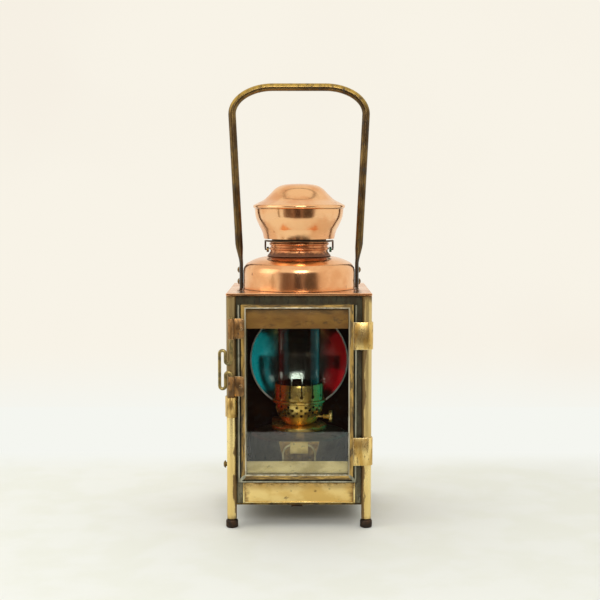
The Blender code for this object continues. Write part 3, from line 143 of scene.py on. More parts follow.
low_down = combined(tree, "MULTIPLY", low_down, rays.outputs["Is Glossy Ray"])
seen = plaster
for start, end, colour in [front_side] + front_bars:
    soft = 4.0 if (start, end, colour) == front_side else 2.0
    share = combined(tree, "MULTIPLY", band(tree, azimuth, start, end, soft), low_down)
    seen = mixed(tree, share, seen, linear(colour))
through_dark = combined(tree, "MULTIPLY", through, ramp(tree, across.outputs["Z"], -0.172, -0.158))
share = combined(tree, "MULTIPLY", band(tree, azimuth, behind_glass[0], behind_glass[1], 6.0), through_dark)
beside = band(tree, combined(tree, "ABSOLUTE", azimuth, 0.0), beside_glass[0], beside_glass[1], 5.0)
share = combined(tree, "MAXIMUM", share, combined(tree, "MULTIPLY", beside, through))
seen = mixed(tree, share, seen, linear(behind_glass[2]))
sharp = combined(tree, "MAXIMUM", rays.outputs["Is Camera Ray"], rays.outputs["Is Glossy Ray"])
sharp = combined(tree, "MAXIMUM", sharp, through)
look = node(tree, "Background", {"Color": seen, "Strength": 1.0})
glow = node(tree, "Background", {"Color": linear(wall_colour), "Strength": room_light})
shown = node(tree, "MixShader", {0: sharp, 1: glow.outputs[0], 2: look.outputs[0]})
node(tree, "OutputWorld", {"Surface": shown.outputs[0]})


# The table: a pale painted top, wide enough that its edges melt into the wall before they end.
# It keeps the lamp's shadow; the melting is for the camera's own rays only.
table_top = -21.2 * MM
table_front, table_back, table_side = -510 * MM, 560 * MM, 560 * MM
table_colour, table_fleck_colour = "#E5E8E5", "#E2E5DF"

bm = bmesh.new()
bmesh.ops.create_grid(bm, x_segments=1, y_segments=1, size=0.5)
bmesh.ops.scale(bm, vec=(2 * table_side, table_back - table_front, 1), verts=bm.verts)
bmesh.ops.translate(bm, vec=(0, (table_back + table_front) / 2, table_top), verts=bm.verts)
mesh = bpy.data.meshes.new("table")
bm.to_mesh(mesh)
bm.free()
table = bpy.data.objects.new("table", mesh)
bpy.context.scene.collection.objects.link(table)
table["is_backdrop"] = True
paint = bpy.data.materials.new("pale_table_paint")
paint.use_nodes = True
tree = paint.node_tree
tree.nodes.clear()
place = node(tree, "TexCoord").outputs["Object"]
fleck = node(tree, "TexNoise", {"Vector": place, "Scale": 1 / (55 * MM), "Detail": 6.0}).outputs["Fac"]
tone = mixed(tree, ramp(tree, fleck, 0.4, 0.65), linear(table_colour), linear(table_fleck_colour))
matt = node(tree, "BsdfPrincipled", {"Base Color": tone, "Roughness": 0.9})
glow = node(tree, "Emission", {"Color": linear(wall_foot_colour), "Strength": 1.0})
depth = node(tree, "SeparateXYZ", {"Vector": place}).outputs["Y"]
reach = node(tree, "VectorMath", {0: place}, operation="LENGTH").outputs["Value"]
melt = combined(tree, "MAXIMUM", ramp(tree, depth, 150 * MM, 262 * MM), ramp(tree, reach, 330 * MM, 470 * MM))
melt = combined(tree, "MULTIPLY", melt, node(tree, "LightPath").outputs["Is Camera Ray"])
top = node(tree, "MixShader", {0: melt, 1: matt.outputs[0], 2: glow.outputs[0]})
node(tree, "OutputMaterial", {"Surface": top.outputs[0]})
mesh.materials.append(paint)


# Three soft lights: a broad one overhead and a little behind, one from the left, one before the lamp.
for name, spot, size, power in (("overhead", (-0.15, 0.25, 1.35), 2.2, 15.0),
                                ("left", (-1.2, -0.5, 0.7), 0.9, 2.6),
                                ("front", (0.1, -1.3, 0.8), 0.55, 5.0)):
    light = bpy.data.lights.new(name + "_light", "AREA")
    light.shape = "SQUARE"
    light.size = size
    light.energy = power
    light.color = (1.0, 0.99, 0.97)
    lamp = bpy.data.objects.new(name + "_light", light)
    lamp.location = spot
    lamp.rotation_euler = (Vector((0, 0, 0.15)) - Vector(spot)).to_track_quat("-Z", "Y").to_euler()
    lamp.visible_glossy = name != "overhead"
    bpy.context.scene.collection.objects.link(lamp)


# Button feet: small cast iron pads under the four posts, blackened and chipped to brown at the rim.
def spun(profile, steps=64, place=(0, 0, 0), turn=Matrix.Identity(4)):
    """A profile of radii and heights spun about the upright axis, then turned and moved."""
    bm = bmesh.new()
    verts = [bm.verts.new((r, 0, z)) for r, z in profile]
    edges = [bm.edges.new(pair) for pair in zip(verts, verts[1:])]
    bmesh.ops.spin(bm, geom=verts + edges, cent=(0, 0, 0), axis=(0, 0, 1), angle=math.tau, steps=steps,
                   use_merge=True)
    bmesh.ops.remove_doubles(bm, verts=bm.verts, dist=0.001 * MM)
    bmesh.ops.dissolve_degenerate(bm, edges=bm.edges, dist=0.001 * MM)
    bmesh.ops.transform(bm, matrix=Matrix.Translation(Vector(place)) @ turn, verts=bm.verts)
    return bm


def arc(centre, radius, start, end, steps):
    """Points on an arc given in degrees, both ends included."""
    turns = [math.radians(start + (end - start) * i / steps) for i in range(steps + 1)]
    return [(centre[0] + radius * math.cos(t), centre[1] + radius * math.sin(t)) for t in turns]


def piece(name, bm, materials, body, slot, *nodes):
    """Finishes a piece: normals, smooth faces with sharp corners, its body and what it replaces; slot is not used.
    """
    bmesh.ops.recalc_face_normals(bm, faces=bm.faces)
    mesh = bpy.data.meshes.new(name)
    bm.to_mesh(mesh)
    bm.free()
    mesh.shade_smooth()
    mesh.set_sharp_from_angle(angle=math.radians(38))
    for material in materials if isinstance(materials, tuple) else (materials,):
        mesh.materials.append(material)
    obj = bpy.data.objects.new(name, mesh)
    bpy.context.scene.collection.objects.link(obj)
    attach(obj, body)
    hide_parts(*nodes)
    return obj


def metal(name, clean, worn, stain_and_shade, roughness, patch, stained, stain_and_shade_runs=(), dent=0.0, streak=1.0, dull=0.5,
          pits=0.0, rub_and_highlight=None, shine=1.0):
    """Aged metal: two tones in patches, stains between them, darker runs, pits and fine scratches.

    patch is the patches' size and stained the share of the surface that is stained; stain_and_shade_runs are
    (axis, start, end[, depth]) runs along which the stain_and_shade colour grows, real stains on some pieces and
    painted shade in corners, creases and under overhangs on others; dent is the depth of the sheet's soft waves;
    streak stretches the pattern along Z; dull is how far the stain_and_shade colour hides the metal; pits are the
    dark spots' spacing; rub_and_highlight is a colour laid where the surface looks up, part wear where the hand
    polishes the metal and part painted highlight where the light from above falls, and the heights between which
    it starts; shine is how far the clean surface is bare metal, less where lacquer, oxide or flux lies on it.
    """
    material = bpy.data.materials.new(name)
    material.use_nodes = True
    tree = material.node_tree
    shader = tree.nodes["Principled BSDF"]
    coordinates = node(tree, "TexCoord")
    place = coordinates.outputs["Object"]
    axes = node(tree, "SeparateXYZ", {"Vector": place})
    drawn = node(tree, "Mapping", {"Vector": place, "Scale": (1, 1, 1 / streak)}).outputs["Vector"]
    broad = node(tree, "TexNoise", {"Vector": drawn, "Scale": 1 / patch, "Detail": 4.0}).outputs["Fac"]
    small = node(tree, "TexNoise", {"Vector": drawn, "Scale": 3.1 / patch, "Detail": 7.0, "Roughness": 0.65})
    small = small.outputs["Fac"]
    tone = mixed(tree, ramp(tree, broad, 0.4, 0.62), linear(clean), linear(worn))
    edge = 0.75 - 0.45 * stained
    dirt_and_shade = ramp(tree, small, edge, edge + 0.12, 0.0, 0.85)
    wander = combined(tree, "MULTIPLY", combined(tree, "SUBTRACT", small, 0.5), 14 * MM)
    # Runs along an axis: real stains on some pieces, painted shade in corners and under overhangs on others.
    for axis, start, end, *depth in stain_and_shade_runs:
        along = combined(tree, "ADD", axes.outputs[axis], wander)
        dirt_and_shade = combined(tree, "MAXIMUM", dirt_and_shade, ramp(tree, along, start, end, 0.0, depth[0] if depth else 0.92))
    if pits:
        cells = node(tree, "TexVoronoi", {"Vector": place, "Scale": 1 / pits, "Randomness": 1.0})
        spots = ramp(tree, cells.outputs["Distance"], 0.17, 0.06, 0.0, 0.8)
        dirt_and_shade = combined(tree, "MAXIMUM", dirt_and_shade, combined(tree, "MULTIPLY", spots, ramp(tree, small, 0.45, 0.6)))
    # Faces that look up take the rub colour: part hand wear, part painted highlight from the light above.
    if rub_and_highlight:
        rub_and_highlight_share = ramp(tree, node(tree, "SeparateXYZ", {"Vector": coordinates.outputs["Normal"]}).outputs["Z"],
                      -0.15, 0.55)
        rub_and_highlight_share = combined(tree, "MULTIPLY", rub_and_highlight_share, ramp(tree, axes.outputs["Z"], rub_and_highlight[1], rub_and_highlight[2]))
        patchy = ramp(tree, small, 0.62, 0.45, 0.55, 1.0)
        rub_and_highlight_share = combined(tree, "MULTIPLY", rub_and_highlight_share, patchy)
        tone = mixed(tree, rub_and_highlight_share, tone, linear(rub_and_highlight[0]))
        dirt_and_shade = combined(tree, "MULTIPLY", dirt_and_shade, combined(tree, "SUBTRACT", 1.0, rub_and_highlight_share))
    tree.links.new(mixed(tree, dirt_and_shade, tone, linear(stain_and_shade)), shader.inputs["Base Color"])
    bare = ramp(tree, dirt_and_shade, 0.0, 1.0, shine, shine * (1.0 - dull))
    tree.links.new(bare, shader.inputs["Metallic"])
    rough = combined(tree, "MULTIPLY", combined(tree, "ADD", dirt_and_shade, broad), 0.22)
    tree.links.new(combined(tree, "ADD", rough, roughness - 0.1), shader.inputs["Roughness"])
    fine = node(tree, "TexNoise", {"Vector": drawn, "Scale": 1 / (0.9 * MM), "Detail": 3.0}).outputs["Fac"]
    normal = node(tree, "Bump", {"Height": fine, "Strength": 0.25, "Distance": 0.02 * MM}).outputs["Normal"]
    if dent:
        wave = node(tree, "TexNoise", {"Vector": drawn, "Scale": 1 / (16 * MM), "Detail": 1.0}).outputs["Fac"]
        inputs = {"Height": wave, "Strength": 1.0, "Distance": dent, "Normal": normal}
        normal = node(tree, "Bump", inputs).outputs["Normal"]
    tree.links.new(normal, shader.inputs["Normal"])
    return material


post_at = 63.9 * MM
# Blackened cast iron: near black, dull, with brown where the blacking has chipped.
iron = metal("blackened_cast_iron", "#3A322C", "#4E3C30", "#1E1916", 0.5, 4 * MM, 0.5, dull=0.8)
for hand, x in (("left", -post_at), ("right", post_at)):
    for end, y in (("front", -post_at), ("back", post_at)):
        name = f"{end}_{hand}_foot"
        low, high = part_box(name)
        radius = (high.x - low.x) / 2
        edge, shoulder = 1.4 * MM, 2.4 * MM
        outline = [(0, low.z), (radius - edge, low.z)]
        outline += arc((radius - edge, low.z + edge), edge, -80, 0, 5)
        outline += arc((radius - shoulder, high.z - shoulder), shoulder, 10, 75, 5)
        outline += [(radius * 0.55, high.z), (0, high.z)]
        piece("button_" + name, spun(outline, 40, (x, y, 0)), iron, "lamp", "iron", name)


# Corner posts: drawn brass rod, rubbed bright on the outside and browned by painted shade on the inner side by
# the door, under the roof and under the case, soldered into the corners of the case.
post_radius = 4.6 * MM
for hand, x in (("left", -post_at), ("right", post_at)):
    # Painted shade: darker under the case, under the roof plate and on the inner side by the door. The left post is
    # also darker above 92 mm, the right a little above 46 mm.
    stain_and_shade_runs = [("Z", -8 * MM, -16 * MM), ("Z", 192 * MM, 200 * MM)]
    if hand == "left":
        stain_and_shade_runs += [("X", -61.8 * MM, -60.6 * MM), ("Z", 82 * MM, 92 * MM, 0.78)]
    else:
        stain_and_shade_runs += [("X", 63.2 * MM, 61.4 * MM), ("Z", 34 * MM, 46 * MM, 0.3)]
    # Polished brass: warm yellow, long vertical smears from the polishing cloth, brown with painted shade in the
    # corner.
    finish = metal(f"polished_{hand}_post_brass", "#FBE5A2", "#EDCF86", "#6A4E2A", 0.26, 26 * MM, 0.3, stain_and_shade_runs,
                   streak=3.5, pits=9 * MM)
    for end, y in (("front", -post_at), ("back", post_at)):
        name = f"{end}_{hand}_post"
        low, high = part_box(name)
        soft = 0.4 * MM
        outline = [(0, low.z), (post_radius - soft, low.z), (post_radius, low.z + soft)]
        outline += [(post_radius, low.z + (high.z - low.z) * i / 6) for i in range(1, 6)]
        outline += [(post_radius, high.z - soft), (post_radius - soft, high.z), (0, high.z)]
        piece(name.replace("post", "rod"), spun(outline, 48, (x, y, 0)), finish, "lamp", "bright_brass", name)


# Base plate, its front tab, the fount's shelf and the side stud: rolled sheet, soldered in, hardly seen.
def dress(material, *nodes):
    """Gives CAD nodes that stay in view their finish."""
    for name in nodes:
        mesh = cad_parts[name].data
        mesh.materials.clear()
        mesh.materials.append(material)


# Dull rolled brass: brown-yellow, blotched by damp, hardly any shine left.
dull_sheet = metal("dull_rolled_brass", "#86703F", "#66522F", "#332A1C", 0.45, 18 * MM, 0.6)
dress(dull_sheet, "base_plate", "fount_shelf", "side_stud")
dress(iron, "base_tab")


# Walls: sheet brass, folded and soldered to the posts; grey-green solder has run along the seams, and the front
# wall's jamb beside the door is darkened further by painted shade.
# Inside they are black with lamp soot.
def block(low, high, edge=0.0):
    """A block between two corners, its edges softened by a small bevel."""
    bm = bmesh.new()
    bmesh.ops.create_cube(bm, size=1)
    low, high = Vector(low), Vector(high)
    bmesh.ops.scale(bm, vec=high - low, verts=bm.verts)
    bmesh.ops.translate(bm, vec=(low + high) / 2, verts=bm.verts)
    if edge:
        bmesh.ops.bevel(bm, geom=bm.edges[:], offset=edge, segments=2, profile=0.5, affect="EDGES", material=-1)
    return bm


# Soot on brass: brown-black and matt. Sheet brass: yellow in broad patches, greyed by solder and damp,
# with painted shade towards the roof and the base.
soot = metal("lamp_soot", "#2A2018", "#3B2A1C", "#15100C", 0.55, 20 * MM, 0.6, dull=0.8)
wall_brass = metal("soldered_sheet_brass", "#D0AC64", "#A08654", "#5E4E34", 0.32, 34 * MM, 0.5,
                   [("Z", 190 * MM, 198 * MM), ("Z", 9 * MM, 1 * MM)], dent=0.25 * MM, streak=2.0, dull=0.65)
# The jamb: solder and patina, darkened to olive-black by painted shade between door frame and posts.
jamb_solder_and_shade_brass = metal("solder_run_and_painted_shade_jamb_brass", "#55533F", "#473E2C", "#25261F", 0.34, 7 * MM, 0.5, streak=2.5,
                    shine=0.45)
for name, finish in (("left_wall", wall_brass), ("right_wall", wall_brass), ("back_wall", wall_brass),
                     ("front_wall", jamb_solder_and_shade_brass)):
    dress(finish, name)
    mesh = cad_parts[name].data
    mesh.materials.append(soot)
    low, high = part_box(name)
    thick = 0 if high.x - low.x < high.y - low.y else 1
    outer = max(abs(low[thick]), abs(high[thick]))
    for face in mesh.polygons:
        if abs(face.center[thick]) < outer - 0.3 * MM:
            face.material_index = 1


# Lower front panel: a bright brass plate let in under the door, with a folded lip and soldered ends,
# a narrow gold strip at each end and grey-green solder outside it.
low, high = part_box("front_wall")
panel_low, panel_high = low.z + 0.2 * MM, 21.4 * MM
panel_half = 51.5 * MM
sill = low.y
# Polished plate: clear yellow, browned by painted shade towards its ends and under the door.
panel_brass = metal("polished_plate_brass", "#F8DB92", "#E6C071", "#7E5A2A", 0.3, 24 * MM, 0.3,
                    [("X", 46 * MM, 53 * MM), ("X", -47 * MM, -53 * MM), ("Z", 18 * MM, 22.5 * MM)], streak=0.6,
                    pits=11 * MM)
bm = block((-panel_half, sill - 0.5 * MM, panel_low), (panel_half, sill + 0.1 * MM, panel_high), 0.15 * MM)
piece("front_panel", bm, panel_brass, "lamp", "brass")
lip_brass = metal("bright_fold_brass", "#F9E2A0", "#E8C67A", "#8A6A34", 0.25, 12 * MM, 0.2)
lip = (sill - 1.1 * MM, sill - 0.5 * MM)
bm = block((-panel_half, lip[0], panel_low), (panel_half, lip[1], panel_low + 1.1 * MM), 0.25 * MM)
piece("front_panel_lip", bm, lip_brass, "lamp", "brass")
solder = metal("grey_green_solder", "#7C7862", "#5E5840", "#33342B", 0.4, 5 * MM, 0.45, streak=3.0, shine=0.6)
for side in (-1, 1):
    hand = "left" if side < 0 else "right"
    near, far = sorted((side * (panel_half + 2.1 * MM), side * 58.6 * MM))
    bm = block((near, sill - 0.6 * MM, panel_low), (far, sill + 0.1 * MM, panel_high), 0.2 * MM)
    piece(hand + "_panel_seam", bm, solder, "lamp", "soldered_brass")
    near, far = sorted((side * (panel_half + 0.3 * MM), side * (panel_half + 1.9 * MM)))
    bm = block((near, sill - 0.9 * MM, panel_low), (far, sill + 0.1 * MM, panel_high), 0.3 * MM)
    piece(hand + "_panel_strip", bm, lip_brass, "lamp", "brass")


# Side windows: rolled ruby glass on the left and blue-green glass on the right, each held in a folded
# tin frame that hooks over the pane.
def glass(name, colour, ripple=0.0, roughness=0.02):
    """Clear or coloured glass that also lets the room's light through in its own colour."""
    material = bpy.data.materials.new(name)
    material.use_nodes = True
    tree = material.node_tree
    shader = tree.nodes["Principled BSDF"]
    shader.inputs["Transmission Weight"].default_value = 1.0
    shader.inputs["Roughness"].default_value = roughness
    place = node(tree, "TexCoord").outputs["Object"]
    cast = node(tree, "TexNoise", {"Vector": place, "Scale": 1 / (30 * MM), "Detail": 2.0}).outputs["Fac"]
    deep = [c * 0.92 for c in linear(colour)[:3]] + [1.0]
    tint = mixed(tree, ramp(tree, cast, 0.35, 0.7), linear(colour), deep)
    tree.links.new(tint, shader.inputs["Base Color"])
    if ripple:
        inputs = {"Height": cast, "Strength": 1.0, "Distance": ripple}
        tree.links.new(node(tree, "Bump", inputs).outputs["Normal"], shader.inputs["Normal"])
    rays = node(tree, "LightPath")
    soft = combined(tree, "MAXIMUM", rays.outputs["Is Shadow Ray"], rays.outputs["Is Diffuse Ray"])
    clear = node(tree, "BsdfTransparent", {"Color": tint})
    both = node(tree, "MixShader", {0: soft, 1: shader.outputs[0], 2: clear.outputs[0]})
    tree.links.new(both.outputs[0], tree.nodes["Material Output"].inputs["Surface"])
    return material


# Rolled glass: deep colour in the body of the pane and a faint ripple from the roller.
ruby = glass("rolled_ruby_glass", "#74080E", 0.05 * MM)
blue_green = glass("rolled_blue_green_glass", "#0C9CAA", 0.05 * MM)
dress(ruby, "left_window_glass")
dress(blue_green, "right_window_glass")
dark_tin = metal("sooty_tinplate", "#4A3E34", "#5C4C3E", "#241D18", 0.5, 12 * MM, 0.5)
dress(dark_tin, "left_glass_frame", "right_glass_frame")


# Door frame: drawn moulding mitred and soldered at the corners, with a solder-grey outer bead, a dark
# groove, a brown and gold bar and a thin bright line round the opening.
door_low, door_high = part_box("door_frame")
bead, groove, groove_depth = 1.8 * MM, 1.2 * MM, 0.8 * MM
bar, top_bar, front_skin = 8 * MM, 4 * MM, 1.5 * MM
crease, inner_line = 0.35 * MM, 0.9 * MM


def moulding(low, high, y, steps):
    """A rectangular frame seen from -Y, stepped inwards by (width, rise) pairs, its middle left open."""
    bm = bmesh.new()
    bmesh.ops.create_grid(bm, x_segments=1, y_segments=1, size=0.5)
    bmesh.ops.rotate(bm, matrix=Matrix.Rotation(math.pi / 2, 3, "X"), verts=bm.verts)
    bmesh.ops.scale(bm, vec=(high.x - low.x, 1, high.z - low.z), verts=bm.verts)
    bmesh.ops.translate(bm, vec=((low.x + high.x) / 2, y, (low.z + high.z) / 2), verts=bm.verts)
    bm.normal_update()
    bm.faces.ensure_lookup_table()
    face = bm.faces[0]
    if face.normal.y > 0:
        face.normal_flip()
    for width, rise in steps:
        bmesh.ops.inset_region(bm, faces=[face], thickness=width, depth=rise, use_boundary=True,
                               use_even_offset=True)
    bmesh.ops.delete(bm, geom=[face], context="FACES")
    return bm


flat_bar = bar - bead - groove - 3 * crease - inner_line
steps = [(crease, crease), (bead - 2 * crease, 0), (crease, -crease), (crease, -groove_depth),
         (groove - 2 * crease, 0), (crease, groove_depth), (flat_bar, 0.1 * MM), (crease, 0.25 * MM),
         (inner_line, 0), (crease, -0.45 * MM), (0.01 * MM, -front_skin + crease)]
full_top = Vector((door_high.x, 0, door_high.z + bar - top_bar))
bm = moulding(door_low, full_top, door_low.y + crease, steps)
bmesh.ops.bisect_plane(bm, geom=bm.verts[:] + bm.edges[:] + bm.faces[:], plane_co=(0, 0, door_high.z),
                       plane_no=(0, 0, 1), clear_outer=True)
rim_y = door_low.y + crease
outer = [e for e in bm.edges if e.is_boundary and all(abs(v.co.y - rim_y) < 0.05 * MM for v in e.verts)]
grown = bmesh.ops.extrude_edge_only(bm, edges=outer)
for vert in (v for v in grown["geom"] if isinstance(v, bmesh.types.BMVert)):
    vert.co.y = door_high.y
# Solder over brass: pale grey where it is rubbed, olive where it is not. The groove holds soot and polish.
frame_solder = metal("rubbed_grey_solder", "#B0AF9A", "#807E6A", "#403F32", 0.36, 6 * MM, 0.42, streak=5.0,
                     shine=0.45)
frame_gold = metal("streaked_moulding_brass", "#CDA85C", "#7E6438", "#3E3424", 0.36, 5 * MM, 0.6, streak=7.0,
                   dull=0.75, shine=0.5)
level_gold = metal("level_streaked_moulding_brass", "#CDA85C", "#7E6438", "#3E3424", 0.36, 24 * MM, 0.6,
                   streak=0.12, dull=0.75, shine=0.5)
groove_dark = metal("soot_in_the_groove", "#2F2D25", "#44422F", "#181712", 0.45, 6 * MM, 0.5)
line_brass = metal("bright_line_brass", "#CBC5AE", "#A0967A", "#62583E", 0.3, 5 * MM, 0.4, streak=4.0, shine=0.4)
for face in bm.faces:
    middle = face.calc_center_median()
    level = min(middle.z - door_low.z, full_top.z - middle.z)
    inwards = min(middle.x - door_low.x, door_high.x - middle.x, level)
    if bead - crease < inwards < bead + groove:
        face.material_index = 1
    elif bead + groove <= inwards < bar - inner_line - crease:
        face.material_index = 4 if inwards == level else 2
    elif inwards >= bar - inner_line - crease:
        face.material_index = 3
piece("door_moulding", bm, (frame_solder, groove_dark, frame_gold, line_brass, level_gold), "door", "soldered_brass",
      "door_frame")
for corner, (x, z) in enumerate(((door_low.x, door_low.z), (door_high.x, door_low.z))):
    bm = bmesh.new()
    bmesh.ops.create_icosphere(bm, subdivisions=3, radius=1)
    bmesh.ops.scale(bm, vec=(4.6 * MM, 0.5 * MM, 1.5 * MM), verts=bm.verts)
    mitre = Matrix.Rotation(math.radians(45 if x > 0 else -45), 3, "Y")
    bmesh.ops.rotate(bm, matrix=mitre, verts=bm.verts)
    inwards = 4.2 * MM
    bmesh.ops.translate(bm, vec=(x - math.copysign(inwards, x), door_low.y + 0.3 * MM, z + inwards),
                        verts=bm.verts)
    piece(("left", "right")[corner] + "_corner_solder", bm, frame_solder, "door", "soldered_brass")


# Door pane: clear glass, held by two brass strips pressed into the frame, the upper wider and browned by painted
# shade.
clear = glass("clear_window_glass", "#F4F7F4")
dress(clear, "door_glass")
# Brass browned by painted shade at the top, darkest along its upper edge, and paler brass at the bottom,
# both with level smears.
shaded_top_strip = metal("painted_shade_browned_strip_brass", "#B88444", "#9C6C38", "#6A4C28", 0.4, 30 * MM, 0.5,
                  [("Z", 179 * MM, 190 * MM)], streak=0.5, dull=0.8, shine=0.45)
bottom_strip = metal("pale_strip_brass", "#EED698", "#D2B878", "#8E7646", 0.38, 22 * MM, 0.4, streak=0.5,
                     dull=0.8, shine=0.6)
for name, finish in (("door_top_strip", shaded_top_strip), ("door_bottom_strip", bottom_strip)):
    low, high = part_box(name)
    piece(name + "_plate", block(low, high, 0.15 * MM), finish, "door", "brass", name)


# Hinge straps: bright brass sheet wrapped round the right front post and soldered to the door's edge.
def smooth_copy(node_name, width, segments=2):
    """A CAD node's own shape as one clean mesh; its sharp edges are rounded and take material 1."""
    bm = bmesh.new()
    bm.from_mesh(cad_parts[node_name].data)
    bmesh.ops.remove_doubles(bm, verts=bm.verts, dist=0.01 * MM)
    bmesh.ops.dissolve_limit(bm, angle_limit=math.radians(1), verts=bm.verts, edges=bm.edges)
    sharp = [e for e in bm.edges if e.is_manifold and e.calc_face_angle(0) > math.radians(50)]
    made = bmesh.ops.bevel(bm, geom=sharp, offset=width, segments=segments, profile=0.5, affect="EDGES",
                           material=-1, clamp_overlap=True)
    for face in bm.faces:
        face.material_index = 0
    for face in made["faces"]:
        face.material_index = 1
    return bm


# Handled sheet: gold on the flat, paler still where the edges are rubbed, and browned by painted shade
# towards the strap's inner end by the door frame.
strap_brass = metal("handled_strap_brass", "#F2D68E", "#CFA85C", "#6A4C26", 0.28, 7 * MM, 0.42,
                    [("X", 53.4 * MM, 51.0 * MM)], streak=3.0, pits=8 * MM)
rubbed_edge = metal("rubbed_brass_edge", "#FBEAB8", "#E9CF90", "#A88A50", 0.24, 6 * MM, 0.15)
for name in ("lower_hinge_strap", "upper_hinge_strap"):
    piece(name + "_wrap", smooth_copy(name, 0.3 * MM), (strap_brass, rubbed_edge), "door", "bright_brass", name)


# Latch guides and keeper: sheet brass rolled round the bolt, its leaves riveted to the door and post.
latch_brass = metal("browned_latch_brass", "#A87C48", "#6C5030", "#3A2C20", 0.32, 6 * MM, 0.5, streak=2.0,
                    shine=0.7)
latch_edge = metal("rubbed_latch_edge", "#EFDFB6", "#D6BE8A", "#A08658", 0.28, 5 * MM, 0.2, shine=0.6)
keeper_brass = metal("keeper_sheet_brass", "#E2C076", "#B08E50", "#5A4526", 0.3, 7 * MM, 0.4, streak=2.0)
for name in ("upper_latch_guide", "lower_latch_guide"):
    piece(name + "_roll", smooth_copy(name, 0.3 * MM), (latch_brass, latch_edge), "door", "brass", name)
piece("latch_keeper_roll", smooth_copy("latch_keeper", 0.3 * MM), (keeper_brass, latch_edge), "lamp", "brass",
      "latch_keeper")


# Bolt: one brass wire, bent into two curls and a long finger loop, that slides in the two guides.
def swept(path, side, sections, sides=16, closed=False):
    """A rod along a path; each section is half its thickness in the path's plane and across it."""
    bm = bmesh.new()
    rings = []
    points, side = [Vector(point) for point in path], Vector(side)
    count = len(points)
    for i, point in enumerate(points):
        before = points[i - 1] if i or closed else point
        after = points[(i + 1) % count] if i < count - 1 or closed else point
        run = (after - before).normalized()
        side = (side - run * side.dot(run)).normalized()
        turn = Matrix((side.cross(run), side, run)).transposed()
        thin, wide = sections[i] if isinstance(sections, list) else (sections, sections)
        made = bmesh.ops.create_circle(bm, segments=sides, radius=1.0)["verts"]
        bmesh.ops.scale(bm, vec=(thin, wide, 1), verts=made)
        bmesh.ops.rotate(bm, matrix=turn, verts=made)
        bmesh.ops.translate(bm, vec=point, verts=made)
        rings.append(list({e for v in made for e in v.link_edges}))
    pairs = list(zip(rings, rings[1:])) + ([(rings[-1], rings[0])] if closed else [])
    for first, second in pairs:
        bmesh.ops.bridge_loops(bm, edges=first + second)
    bmesh.ops.holes_fill(bm, edges=[e for e in bm.edges if e.is_boundary])
    return bm


bolt_wire, bend = 1.5 * MM, 2.7 * MM
low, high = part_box("latch_bolt")
bolt_y, stem, return_leg, outer_leg = (low.y + high.y) / 2, -63.6 * MM, -69.0 * MM, -74.37 * MM
line = [(stem, high.z)] + [(stem, high.z - (high.z - 139.5 * MM) * i / 5) for i in range(1, 5)]
line += arc(((stem + return_leg) / 2, 139.5 * MM), bend, 0, -180, 10)
line += arc(((return_leg + outer_leg) / 2, 146.8 * MM), bend, 0, 180, 10)
line += arc(((return_leg + outer_leg) / 2, 116.0 * MM), bend, 180, 360, 10)
line += arc(((stem + return_leg) / 2, 126.3 * MM), bend, 180, 0, 10)
line += [(stem, 115 * MM), (stem, low.z)]
# Handled wire: grey-olive, gold where the finger lifts it.
wire_brass = metal("handled_brass_wire", "#B59F66", "#7F7450", "#4A4230", 0.32, 6 * MM, 0.4, dull=0.7)
piece("bent_wire_bolt", swept([(x, bolt_y, z) for x, z in line], (0, 1, 0), bolt_wire), wire_brass,
      "latch_bolt", "brass", "latch_bolt")


# Roof plate and dome: the plate's edges are turned down over the case; the dome is spun copper, polished,
# with brown finger marks and a soft wave in the sheet.
# Polished copper: orange-pink, brown where it has been fingered, small dark specks.
copper = metal("spun_polished_copper", "#F6BE8C", "#EAAA76", "#A8693E", 0.2, 26 * MM, 0.2, dent=0.35 * MM,
               pits=13 * MM, dull=0.4)
copper_edge = metal("rubbed_copper_edge", "#F9D0A2", "#EDB585", "#B47A4C", 0.22, 9 * MM, 0.15)
sheet = 0.9 * MM
piece("roof_plate", smooth_copy("top_plate", 0.3 * MM), (copper, copper_edge), "lamp", "copper", "top_plate")


def eased(points, steps=6):
    """A smooth line through points, by Catmull and Rom's rule."""
    line = []
    ends = [points[0]] + points + [points[-1]]
    for a, b, c, d in zip(ends, ends[1:], ends[2:], ends[3:]):
        for i in range(steps):
            t = i / steps
            line.append(tuple(0.5 * (2 * q + (r - p) * t + (2 * p - 5 * q + 4 * r - s) * t * t
                                     + (3 * q - p - 3 * r + s) * t ** 3) for p, q, r, s in zip(a, b, c, d)))
    return line + [points[-1]]


def thick(line, wall):
    """An outer line of radii and heights with its inner line behind it, as one closed outline."""
    inner = []
    for i, point in enumerate(line):
        before, after = Vector(line[max(i - 1, 0)]), Vector(line[min(i + 1, len(line) - 1)])
        run = (after - before).normalized()
        inner.append((max(point[0] + run.y * wall, 0), point[1] - run.x * wall))
    return line + inner[::-1] + line[:1]


low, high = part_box("dome")
radius, height = high.x, high.z - low.z
shape = [(0.471, 1.0), (0.56, 0.978), (0.70, 0.935), (0.79, 0.89), (0.865, 0.83), (0.935, 0.762), (0.975, 0.68),
         (0.994, 0.6), (1.0, 0.53)]
line = eased([(radius * r, low.z + height * z) for r, z in shape], 4)
line += [(radius, low.z + height * z) for z in (0.4, 0.25, 0.06)] + [(radius, low.z)]
piece("spun_dome", spun(thick(line, sheet), 128), copper, "lamp", "copper", "dome")


